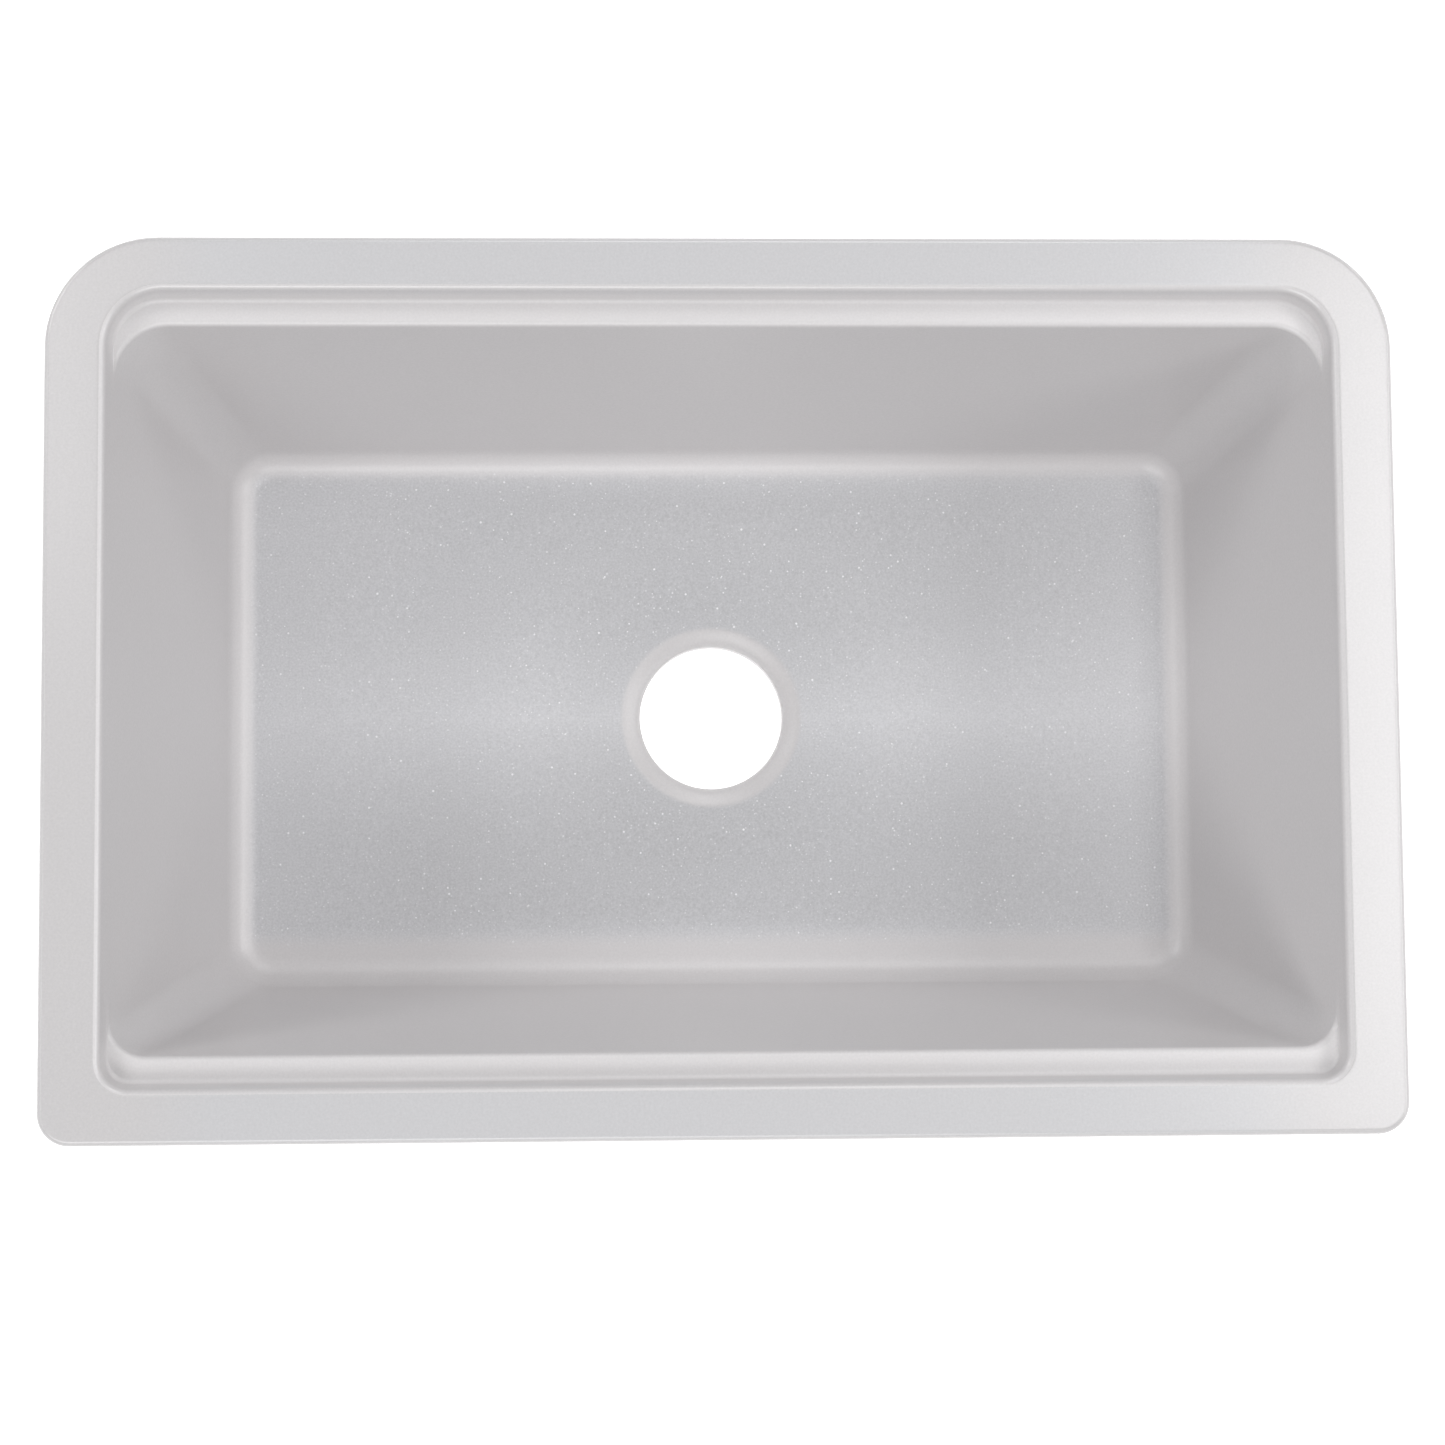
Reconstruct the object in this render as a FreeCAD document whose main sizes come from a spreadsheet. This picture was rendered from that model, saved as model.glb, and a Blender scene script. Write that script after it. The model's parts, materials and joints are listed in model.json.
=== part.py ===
import FreeCAD, Part
import math
import os
from collections import namedtuple

import Sketcher
from FreeCAD import Placement, Rotation, Vector

# Workstation apron sink: one composite moulding that hangs under a countertop, with eight
# swing-out clips under its rim. Millimetres, +X to the right, +Y to the back, +Z up. The origin
# is below the middle of the rim, on the plane that the bowl's base stands on.

# Driving sizes: alias, value, what it measures.
SIZES = [
    ("overall_width", 762, "rim, left to right"),
    ("overall_length", 508, "rim, apron face to back edge"),
    ("overall_height", 241, "base to rim top"),
    ("rim_thickness", 15, "rim flange"),
    ("rim_side_width", 33.5, "flat rim beside the opening"),
    ("rim_rear_width", 30, "flat rim behind the opening"),
    ("rim_front_width", 30.5, "flat rim in front of the opening"),
    ("rim_rear_corner", 63, "rim outline, rear corner radius"),
    ("rim_front_corner", 18, "rim outline and apron, front corner radius"),
    ("rim_edge_rounding", 3.5, "rounding of the rim's top edges"),
    ("opening_rear_corner", 32, "opening at the rim, rear corner radius"),
    ("opening_front_corner", 16, "opening at the rim, front corner radius"),
    ("ledge_drop", 14, "rim top down to the accessory ledges"),
    ("step_run", 3.5, "lean of the step between rim and ledge"),
    ("ledge_width", 14.5, "flat of each ledge"),
    ("ledge_thickness", 11, "wall below each ledge"),
    ("bowl_rear_corner", 30, "bowl at the ledge, rear corner radius"),
    ("bowl_front_corner", 20, "bowl at the ledge, front corner radius"),
    ("floor_thickness", 17, "base up to the floor at the wall's foot"),
    ("floor_width", 598, "wall foot to wall foot, left to right"),
    ("floor_length", 330, "wall foot to wall foot, front to back"),
    ("floor_cove", 20, "cove radius between wall and floor"),
    ("floor_flat_corner", 5, "corner radius of the floor inside the cove"),
    ("floor_fall", 3, "fall of the floor to the drain"),
    ("wall_thickness", 10, "bowl wall, measured level"),
    ("base_rounding", 18, "rounding of the bowl's underside"),
    ("drain_recess_diameter", 112, "recess round the drain hole"),
    ("drain_recess_depth", 3, "depth of that recess"),
    ("drain_recess_margin", 6, "level floor round the recess"),
    ("drain_recess_rounding", 2, "rounding of the recess's edge"),
    ("drain_hole_diameter", 90, "drain hole"),
    ("apron_clearance", 6, "base up to the apron's lower edge"),
    ("apron_thickness", 14, "apron panel and its returns"),
    ("apron_return", 70, "apron returned along each side"),
    ("apron_inner_corner", 6, "corner radius inside the apron"),
    ("apron_edge_rounding", 4, "rounding of the apron's lower edge"),
    ("rib_thickness", 10, "ribs between apron and bowl"),
    ("rib_spacing", 200, "rib to rib"),
    ("rib_foot", 40, "height of the ribs' lower edge"),
    ("clip_inset", 11.5, "clip pivot to the rim's edge"),
    ("rear_clip_inner", 85, "inner rear pivots to the middle"),
    ("rear_clip_outer", 250, "outer rear pivots to the middle"),
    ("side_clip_front", 90, "front side pivots ahead of the middle"),
    ("side_clip_rear", 110, "rear side pivots behind the middle"),
    ("boss_diameter", 21, "boss under the rim at each pivot"),
    ("boss_height", 6, "boss below the rim"),
    ("insert_diameter", 9, "threaded insert"),
    ("insert_length", 11, "threaded insert"),
    ("bond_gap", 0.1, "adhesive between insert and moulding"),
    ("thread_diameter", 6, "screw thread"),
    ("thread_length", 10, "screw thread"),
    ("thread_gap", 0.05, "radial play of the thread"),
    ("shoulder_diameter", 7, "screw shoulder, the clip's pivot"),
    ("pivot_gap", 0.05, "radial play on the shoulder"),
    ("face_gap", 0.25, "play above and below the clip"),
    ("washer_diameter", 14, "washer"),
    ("washer_thickness", 1.2, "washer"),
    ("head_diameter", 13, "screw head"),
    ("head_height", 4.5, "screw head"),
    ("socket_across", 5, "hexagon socket, across its flats"),
    ("socket_depth", 2.5, "hexagon socket"),
    ("clip_width", 16, "clip strip"),
    ("clip_thickness", 2.5, "clip strip"),
    ("clip_reach", 40, "pivot to stud hole"),
    ("clip_bend_start", 13, "pivot to the joggle"),
    ("clip_bend_run", 8, "length of the joggle"),
    ("clip_rise", 5, "height of the joggle"),
    ("clip_corner", 6, "corner radius of the strip's ends"),
    ("clip_bend_rounding", 2, "inside radius of the bends"),
    ("stud_hole_diameter", 7, "hole for the countertop stud"),
]

TOLERANCE = 0.01

doc = FreeCAD.newDocument("apron_sink")
sheet = doc.addObject("Spreadsheet::Sheet", "sizes")
for row, (alias, size, meaning) in enumerate(SIZES, start=1):
    sheet.set(f"A{row}", meaning)
    sheet.set(f"B{row}", str(size))
    sheet.setAlias(f"B{row}", alias)
doc.recompute()

# Levels and reaches that several features share, as expressions on the sheet.
HALF_WIDTH = "sizes.overall_width / 2"
HALF_LENGTH = "sizes.overall_length / 2"
RIM_UNDERSIDE = "(sizes.overall_height - sizes.rim_thickness)"
LEDGE_LEVEL = "(sizes.overall_height - sizes.ledge_drop)"
LEDGE_UNDERSIDE = f"({LEDGE_LEVEL} - sizes.ledge_thickness)"
FLOOR_LEVEL = "sizes.floor_thickness"
DRAIN_LEVEL = f"({FLOOR_LEVEL} - sizes.floor_fall)"
APRON_FOOT = "sizes.apron_clearance"
OPENING_SIDE = f"({HALF_WIDTH} - sizes.rim_side_width)"
OPENING_REAR = f"({HALF_LENGTH} - sizes.rim_rear_width)"
OPENING_FRONT = f"({HALF_LENGTH} - sizes.rim_front_width)"
SIDE_LEAN = f"(({OPENING_SIDE} - sizes.floor_width / 2) / (sizes.overall_height - {FLOOR_LEVEL}))"
LEDGE_REACH = "(sizes.step_run + sizes.ledge_width)"
FLOOR_CORNER = "(sizes.floor_cove + sizes.floor_flat_corner)"
BOSS_FACE = f"({RIM_UNDERSIDE} - sizes.boss_height)"
CLIP_TOP = f"({BOSS_FACE} - sizes.face_gap)"
WASHER_TOP = f"({CLIP_TOP} - sizes.clip_thickness - sizes.face_gap)"
HEAD_TOP = f"({WASHER_TOP} - sizes.washer_thickness)"
HEAD_FOOT = f"({HEAD_TOP} - sizes.head_height)"
PIVOT_HOLE = "(sizes.shoulder_diameter + 2 * sizes.pivot_gap)"


def value(expression):
    """The number that an expression on the sheet gives now."""
    return float(sheet.evalExpression(expression))


# A rounded outline in plan: reach to each side, to the front and to the back, and corner radii.
Outline = namedtuple("Outline", "side front rear front_corner rear_corner")


def grown(outline, by):
    """The outline moved outwards by a wall."""
    return Outline(*(f"({reach} + {by})" for reach in outline))


def sketch_on(body, name, level="0", role="XY_Plane"):
    """A sketch on one of the body's own planes, raised to a level."""
    plane = next(item for item in body.Origin.OriginFeatures if item.Role == role)
    sketch = body.newObject("Sketcher::SketchObject", name)
    sketch.AttachmentSupport = [(plane, "")]
    sketch.MapMode = "FlatFace"
    sketch.setExpression("AttachmentOffset.Base.z", level)
    return sketch


def dimension(sketch, kind, *where, size):
    """One dimensional constraint, bound to the sheet."""
    index = sketch.addConstraint(Sketcher.Constraint(kind, *where, value(size)))
    sketch.setExpression(f"Constraints[{index}]", size)


def draw_outline(sketch, outline):
    """Four lines and four tangent corner arcs, counter-clockwise from the front edge."""
    side, front, rear, front_corner, rear_corner = (value(reach) for reach in outline)
    corners = [
        (Vector(side - front_corner, front_corner - front), front_corner, 270),
        (Vector(side - rear_corner, rear - rear_corner), rear_corner, 0),
        (Vector(rear_corner - side, rear - rear_corner), rear_corner, 90),
        (Vector(front_corner - side, front_corner - front), front_corner, 180),
    ]
    arcs = []
    for centre, radius, start in corners:
        circle = Part.Circle(centre, Vector(0, 0, 1), radius)
        arcs.append(Part.ArcOfCircle(circle, math.radians(start), math.radians(start + 90)))
    for index, arc in enumerate(arcs):
        before = arcs[index - 1]
        sketch.addGeometry(Part.LineSegment(before.EndPoint, arc.StartPoint))
        sketch.addGeometry(arc)
    count = 2 * len(arcs)
    for index in range(count):
        following = (index + 1) % count
        sketch.addConstraint(Sketcher.Constraint("Tangent", index, 2, following, 1))
    for line, direction in ((0, "Horizontal"), (2, "Vertical"), (4, "Horizontal"), (6, "Vertical")):
        sketch.addConstraint(Sketcher.Constraint(direction, line))
    dimension(sketch, "DistanceY", 0, 1, -1, 1, size=outline.front)
    dimension(sketch, "DistanceX", -1, 1, 2, 1, size=outline.side)
    dimension(sketch, "DistanceY", -1, 1, 4, 1, size=outline.rear)
    dimension(sketch, "DistanceX", 6, 1, -1, 1, size=outline.side)
    for arc, radius in ((1, outline.front_corner), (3, outline.rear_corner),
                        (5, outline.rear_corner), (7, outline.front_corner)):
        dimension(sketch, "Radius", arc, size=radius)


def draw_polygon(sketch, points):
    """A closed polygon whose corners are expressions."""
    places = [Vector(value(across), value(along)) for across, along in points]
    first = sketch.GeometryCount
    count = len(points)
    for index, place in enumerate(places):
        sketch.addGeometry(Part.LineSegment(place, places[(index + 1) % count]))
    for index, (across, along) in enumerate(points):
        following = first + (index + 1) % count
        sketch.addConstraint(Sketcher.Constraint("Coincident", first + index, 2, following, 1))
        dimension(sketch, "DistanceX", -1, 1, first + index, 1, size=across)
        dimension(sketch, "DistanceY", -1, 1, first + index, 1, size=along)


def draw_circle(sketch, across, along, diameter):
    """A circle whose centre and diameter are expressions."""
    centre = Vector(value(across), value(along))
    index = sketch.addGeometry(Part.Circle(centre, Vector(0, 0, 1), value(diameter) / 2))
    dimension(sketch, "DistanceX", -1, 1, index, 3, size=across)
    dimension(sketch, "DistanceY", -1, 1, index, 3, size=along)
    dimension(sketch, "Diameter", index, size=diameter)


def draw_centred_circle(sketch, diameter):
    """A circle on the body's own axis."""
    index = sketch.addGeometry(Part.Circle(Vector(), Vector(0, 0, 1), value(diameter) / 2))
    sketch.addConstraint(Sketcher.Constraint("Coincident", index, 3, -1, 1))
    dimension(sketch, "Diameter", index, size=diameter)


def rectangle(left, right, front, rear):
    """Corner points of a rectangle, counter-clockwise."""
    return [(left, front), (right, front), (right, rear), (left, rear)]


def pad(body, sketch, name, length, downwards=False):
    """Material added from a sketch."""
    feature = body.newObject("PartDesign::Pad", name)
    feature.Profile = sketch
    feature.Reversed = downwards
    feature.setExpression("Length", length)
    return feature


def pocket(body, sketch, name, length, upwards=False):
    """Material cut away from a sketch; an empty cut is an error."""
    doc.recompute()
    before = body.Shape.Volume
    feature = body.newObject("PartDesign::Pocket", name)
    feature.Profile = sketch
    feature.Reversed = upwards
    feature.setExpression("Length", length)
    doc.recompute()
    if body.Shape.Volume > before - TOLERANCE:
        raise RuntimeError(f"{name} cuts nothing")
    return feature


def loft(body, kind, name, levels, draw):
    """A straight loft between two levels, each drawn by draw(sketch, shape)."""
    sketches = []
    for index, (level, shape) in enumerate(levels, start=1):
        sketch = sketch_on(body, f"{name}_section_{index}", level)
        draw(sketch, shape)
        sketches.append(sketch)
    feature = body.newObject(f"PartDesign::{kind}", name)
    feature.Profile = sketches[0]
    feature.Sections = sketches[1:]
    feature.Ruled = True
    doc.recompute()
    return feature


def fillet(body, name, radius, chosen):
    """Rounds the edges of the body that chosen(edge) picks."""
    doc.recompute()
    base = body.Tip
    names = [f"Edge{index}" for index, edge in enumerate(base.Shape.Edges, start=1) if chosen(edge)]
    feature = body.newObject("PartDesign::Fillet", name)
    feature.Base = (base, names)
    feature.setExpression("Radius", radius)
    doc.recompute()
    return feature


def level_edge(edge, level):
    """True for an edge that lies at one height."""
    height = value(level)
    box = edge.BoundBox
    return abs(box.ZMin - height) < TOLERANCE and abs(box.ZMax - height) < TOLERANCE


# Clip stations: node name, pivot in plan and the direction that the stowed clip points.
Station = namedtuple("Station", "label across along angle")

REAR_PIVOT = f"({HALF_LENGTH} - sizes.clip_inset)"
SIDE_PIVOT = f"({HALF_WIDTH} - sizes.clip_inset)"
STATIONS = [
    Station("rear_clip_1", "-sizes.rear_clip_outer", REAR_PIVOT, 0),
    Station("rear_clip_2", "-sizes.rear_clip_inner", REAR_PIVOT, 0),
    Station("rear_clip_3", "sizes.rear_clip_inner", REAR_PIVOT, 180),
    Station("rear_clip_4", "sizes.rear_clip_outer", REAR_PIVOT, 180),
    Station("left_clip_1", f"-{SIDE_PIVOT}", "-sizes.side_clip_front", 90),
    Station("left_clip_2", f"-{SIDE_PIVOT}", "sizes.side_clip_rear", 90),
    Station("right_clip_1", SIDE_PIVOT, "-sizes.side_clip_front", 90),
    Station("right_clip_2", SIDE_PIVOT, "sizes.side_clip_rear", 90),
]


def draw_at_stations(sketch, *diameters):
    """Circles of the given diameters at every clip station."""
    for station in STATIONS:
        for diameter in diameters:
            draw_circle(sketch, station.across, station.along, diameter)


RIM_OUTLINE = Outline(HALF_WIDTH, HALF_LENGTH, HALF_LENGTH,
                      "sizes.rim_front_corner", "sizes.rim_rear_corner")
OPENING = Outline(OPENING_SIDE, OPENING_FRONT, OPENING_REAR,
                  "sizes.opening_front_corner", "sizes.opening_rear_corner")
STEP_FOOT = Outline(f"({OPENING_SIDE} - {SIDE_LEAN} * sizes.ledge_drop)",
                    f"({OPENING_FRONT} - sizes.step_run)", f"({OPENING_REAR} - sizes.step_run)",
                    "(sizes.opening_front_corner - sizes.step_run)",
                    "(sizes.opening_rear_corner - sizes.step_run)")
BOWL_MOUTH = Outline(STEP_FOOT.side, f"({OPENING_FRONT} - {LEDGE_REACH})",
                     f"({OPENING_REAR} - {LEDGE_REACH})",
                     "sizes.bowl_front_corner", "sizes.bowl_rear_corner")
BOWL_FOOT = Outline("sizes.floor_width / 2", "sizes.floor_length / 2", "sizes.floor_length / 2",
                    FLOOR_CORNER, FLOOR_CORNER)
COLLAR_SIDE = f"({OPENING_SIDE} - {SIDE_LEAN} * (sizes.ledge_drop + sizes.ledge_thickness))"
COLLAR_TOP = grown(OPENING._replace(side=f"({OPENING_SIDE} - {SIDE_LEAN} * sizes.rim_thickness)"),
                   "sizes.wall_thickness")
COLLAR_FOOT = grown(STEP_FOOT._replace(side=COLLAR_SIDE), "sizes.wall_thickness")
TUB_TOP = grown(BOWL_MOUTH._replace(side=COLLAR_SIDE), "sizes.wall_thickness")
TUB_FOOT = grown(BOWL_FOOT, "sizes.wall_thickness")


def make_apron(body):
    """Front panel and its two side returns, turned down from the rim and open behind."""
    drop = f"{RIM_UNDERSIDE} - {APRON_FOOT}"
    return_end = f"(sizes.apron_return - {HALF_LENGTH})"
    inner = "sizes.apron_inner_corner"
    block = sketch_on(body, "apron_outline", RIM_UNDERSIDE)
    draw_outline(block, Outline(HALF_WIDTH, HALF_LENGTH, return_end,
                                "sizes.rim_front_corner", "sizes.apron_edge_rounding"))
    pad(body, block, "apron", drop, downwards=True)
    hollow = sketch_on(body, "apron_hollow_outline", APRON_FOOT)
    draw_outline(hollow, Outline(f"({HALF_WIDTH} - sizes.apron_thickness)",
                                 f"({HALF_LENGTH} - sizes.apron_thickness)",
                                 f"({return_end} + 2 * {inner})", inner, inner))
    pocket(body, hollow, "apron_hollow", drop, upwards=True)


def make_ribs(body):
    """Upright ribs that tie the apron to the bowl's front wall."""
    sketch = sketch_on(body, "rib_outlines", "sizes.rib_foot")
    apron_middle = f"(sizes.apron_thickness / 2 - {HALF_LENGTH})"
    for place in ("-sizes.rib_spacing", "0", "sizes.rib_spacing"):
        left = f"({place} - sizes.rib_thickness / 2)"
        right = f"({place} + sizes.rib_thickness / 2)"
        draw_polygon(sketch, rectangle(left, right, apron_middle, "-sizes.floor_length / 2"))
    pad(body, sketch, "ribs", f"{RIM_UNDERSIDE} - sizes.rib_foot")


def draw_centred_rectangle(sketch, reach):
    """A rectangle round the drain, given its reach to the side and to the back."""
    side, rear = reach
    draw_polygon(sketch, rectangle(f"-{side}", side, f"-{rear}", rear))


def make_floor(body):
    """Cove, floor that falls to the drain, recess and drain hole."""
    fillet(body, "cove", "sizes.floor_cove", lambda edge: level_edge(edge, FLOOR_LEVEL))
    wide = (f"(sizes.floor_width / 2 - {FLOOR_CORNER})", f"(sizes.floor_length / 2 - {FLOOR_CORNER})")
    narrow = ("(sizes.drain_recess_diameter / 2 + sizes.drain_recess_margin)",) * 2
    loft(body, "SubtractiveLoft", "floor_fall_cut", [(FLOOR_LEVEL, wide), (DRAIN_LEVEL, narrow)],
         draw_centred_rectangle)
    recess = sketch_on(body, "drain_recess_outline", DRAIN_LEVEL)
    draw_centred_circle(recess, "sizes.drain_recess_diameter")
    pocket(body, recess, "drain_recess", "sizes.drain_recess_depth")
    hole = sketch_on(body, "drain_hole_outline", DRAIN_LEVEL)
    draw_centred_circle(hole, "sizes.drain_hole_diameter")
    pocket(body, hole, "drain_hole", DRAIN_LEVEL)
    recess_reach = value("sizes.drain_recess_diameter / 2") + TOLERANCE
    fillet(body, "recess_edge", "sizes.drain_recess_rounding",
           lambda edge: level_edge(edge, DRAIN_LEVEL) and edge.BoundBox.XMax < recess_reach)


def on_rim_outline(edge):
    """True for an edge whose ends lie on the outermost faces of the rim or the apron."""
    side = value(HALF_WIDTH) - TOLERANCE
    rear = value(HALF_LENGTH) - TOLERANCE
    points = [vertex.Point for vertex in edge.Vertexes]
    return all(abs(point.x) > side or abs(point.y) > rear for point in points)


def at_drain(edge):
    """True for an edge of the drain hole."""
    reach = value("sizes.drain_hole_diameter / 2") + TOLERANCE
    box = edge.BoundBox
    return max(box.XMax, -box.XMin, box.YMax, -box.YMin) < reach


def round_edges(body):
    """Softened edges of the rim, the apron and the bowl's underside."""
    rim_top = "sizes.overall_height"
    fillet(body, "opening_edge", "sizes.rim_edge_rounding",
           lambda edge: level_edge(edge, rim_top) and not on_rim_outline(edge))
    fillet(body, "rim_edge", "sizes.rim_edge_rounding",
           lambda edge: level_edge(edge, rim_top) and on_rim_outline(edge))
    fillet(body, "apron_edge", "sizes.apron_edge_rounding",
           lambda edge: level_edge(edge, APRON_FOOT) and on_rim_outline(edge))
    fillet(body, "base_edge", "sizes.base_rounding",
           lambda edge: level_edge(edge, "0") and not at_drain(edge))


def make_sink_body():
    """The composite moulding."""
    body = doc.addObject("PartDesign::Body", "sink_body")
    rim = sketch_on(body, "rim_outline", RIM_UNDERSIDE)
    draw_outline(rim, RIM_OUTLINE)
    pad(body, rim, "rim", "sizes.rim_thickness")
    make_apron(body)
    loft(body, "AdditiveLoft", "collar", [(RIM_UNDERSIDE, COLLAR_TOP), (LEDGE_UNDERSIDE, COLLAR_FOOT)],
         draw_outline)
    loft(body, "AdditiveLoft", "tub", [(LEDGE_UNDERSIDE, TUB_TOP), ("0", TUB_FOOT)], draw_outline)
    make_ribs(body)
    bosses = sketch_on(body, "boss_outlines", RIM_UNDERSIDE)
    draw_at_stations(bosses, "sizes.boss_diameter")
    pad(body, bosses, "bosses", "sizes.boss_height", downwards=True)
    loft(body, "SubtractiveLoft", "step_cut",
         [("sizes.overall_height", OPENING), (LEDGE_LEVEL, STEP_FOOT)], draw_outline)
    loft(body, "SubtractiveLoft", "bowl_cut", [(LEDGE_LEVEL, BOWL_MOUTH), (FLOOR_LEVEL, BOWL_FOOT)],
         draw_outline)
    make_floor(body)
    holes = sketch_on(body, "insert_hole_outlines", BOSS_FACE)
    draw_at_stations(holes, "(sizes.insert_diameter + 2 * sizes.bond_gap)")
    pocket(body, holes, "insert_holes", "sizes.insert_length + sizes.bond_gap", upwards=True)
    round_edges(body)
    return body


def make_threaded_inserts():
    """Brass inserts, flush with the bosses."""
    body = doc.addObject("PartDesign::Body", "threaded_inserts")
    sketch = sketch_on(body, "insert_outlines", BOSS_FACE)
    draw_at_stations(sketch, "sizes.insert_diameter", "(sizes.thread_diameter + 2 * sizes.thread_gap)")
    pad(body, sketch, "inserts", "sizes.insert_length")
    return body


def hexagon(station, across_flats):
    """Corner points of a hexagon at a clip station."""
    corner = f"{across_flats} / sqrt(3)"
    half = f"{across_flats} / 2"
    offsets = [(f"+ {corner}", "+ 0"), (f"+ {corner} / 2", f"+ {half}"), (f"- {corner} / 2", f"+ {half}"),
               (f"- {corner}", "+ 0"), (f"- {corner} / 2", f"- {half}"), (f"+ {corner} / 2", f"- {half}")]
    return [(f"{station.across} {right}", f"{station.along} {back}") for right, back in offsets]


def make_clip_screws():
    """Shoulder screws: thread up in the insert, shoulder through the clip, socket head below."""
    body = doc.addObject("PartDesign::Body", "clip_screws")
    head = sketch_on(body, "head_outlines", HEAD_TOP)
    draw_at_stations(head, "sizes.head_diameter")
    pad(body, head, "heads", "sizes.head_height", downwards=True)
    shoulder = sketch_on(body, "shoulder_outlines", HEAD_TOP)
    draw_at_stations(shoulder, "sizes.shoulder_diameter")
    pad(body, shoulder, "shoulders", f"{BOSS_FACE} - {HEAD_TOP}")
    thread = sketch_on(body, "thread_outlines", BOSS_FACE)
    draw_at_stations(thread, "sizes.thread_diameter")
    pad(body, thread, "threads", "sizes.thread_length")
    socket = sketch_on(body, "socket_outlines", HEAD_FOOT)
    for station in STATIONS:
        draw_polygon(socket, hexagon(station, "sizes.socket_across"))
    pocket(body, socket, "sockets", "sizes.socket_depth", upwards=True)
    return body


def make_clip_washers():
    """Washers between the clips and the screw heads."""
    body = doc.addObject("PartDesign::Body", "clip_washers")
    sketch = sketch_on(body, "washer_outlines", WASHER_TOP)
    draw_at_stations(sketch, "sizes.washer_diameter", PIVOT_HOLE)
    pad(body, sketch, "washers", "sizes.washer_thickness", downwards=True)
    return body


def upright_edge(edge):
    """True for an edge that stands along Z."""
    box = edge.BoundBox
    return box.XLength < TOLERANCE and box.YLength < TOLERANCE


def cross_edge(edge, along, height):
    """True for an edge across the strip at one place of its profile."""
    box = edge.BoundBox
    place = abs(box.XMin - value(along)) < TOLERANCE and abs(box.ZMin - value(height)) < TOLERANCE
    return place and box.XLength < TOLERANCE and box.ZLength < TOLERANCE


def make_clip(station):
    """A joggled steel strip: pivot hole at its origin, stud hole at its raised end."""
    body = doc.addObject("PartDesign::Body", station.label)
    tail = "sizes.clip_width / 2"
    tip = f"(sizes.clip_reach + {tail})"
    first_bend = "sizes.clip_bend_start"
    second_bend = "(sizes.clip_bend_start + sizes.clip_bend_run)"
    slant = "sqrt(sizes.clip_bend_run ^ 2 + sizes.clip_rise ^ 2)"
    mitre = f"(sizes.clip_thickness * ({slant} - sizes.clip_bend_run) / sizes.clip_rise)"
    lower = "-sizes.clip_thickness"
    raised_lower = "(sizes.clip_rise - sizes.clip_thickness)"
    profile = sketch_on(body, f"{station.label}_profile", role="XZ_Plane")
    draw_polygon(profile, [
        (f"-{tail}", "0"), (f"-{tail}", lower), (f"{first_bend} + {mitre}", lower),
        (f"{second_bend} + {mitre}", raised_lower), (tip, raised_lower), (tip, "sizes.clip_rise"),
        (second_bend, "sizes.clip_rise"), (first_bend, "0"),
    ])
    strip = pad(body, profile, f"{station.label}_strip", "sizes.clip_width")
    strip.Midplane = True
    inner = "sizes.clip_bend_rounding"
    outer = f"{inner} + sizes.clip_thickness"
    fillet(body, f"{station.label}_ends", "sizes.clip_corner", upright_edge)
    fillet(body, f"{station.label}_bends_inside", inner,
           lambda edge: cross_edge(edge, first_bend, "0")
           or cross_edge(edge, f"{second_bend} + {mitre}", raised_lower))
    fillet(body, f"{station.label}_bends_outside", outer,
           lambda edge: cross_edge(edge, f"{first_bend} + {mitre}", lower)
           or cross_edge(edge, second_bend, "sizes.clip_rise"))
    holes = sketch_on(body, f"{station.label}_holes", "sizes.clip_rise")
    draw_centred_circle(holes, PIVOT_HOLE)
    draw_circle(holes, "sizes.clip_reach", "0", "sizes.stud_hole_diameter")
    pocket(body, holes, f"{station.label}_hole_cut", "sizes.clip_rise + sizes.clip_thickness")
    body.Placement = Placement(Vector(), Rotation(Vector(0, 0, 1), station.angle))
    body.setExpression("Placement.Base.x", station.across)
    body.setExpression("Placement.Base.y", station.along)
    body.setExpression("Placement.Base.z", CLIP_TOP)
    return body


nodes = [make_sink_body(), make_threaded_inserts(), make_clip_screws(), make_clip_washers()]
nodes += [make_clip(station) for station in STATIONS]
doc.recompute()

for item in doc.Objects:
    if {"Invalid", "Error"} & set(item.State):
        raise RuntimeError(f"{item.Label} failed: {item.State}")
for node in nodes:
    if node.Shape.isNull() or not node.Shape.isValid():
        raise RuntimeError(f"{node.Label} has no valid shape")

os.makedirs("parts", exist_ok=True)
for node in nodes:
    node.Shape.exportStep(f"parts/{node.Label}.step")
    print(node.Label, len(node.Shape.Solids), "solids", round(node.Shape.Volume), "mm3")
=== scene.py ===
"""Looks of a workstation apron sink: a moulding of pale composite, with the clips, screws, washers and
inserts under its rim. Metres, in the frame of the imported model: +X right, +Y back, +Z up from the base."""

import json
import math
from collections import namedtuple
from contextlib import contextmanager

import bmesh
import bpy
from bpy.props import FloatProperty, FloatVectorProperty, PointerProperty
from mathutils import Matrix, Vector


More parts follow.
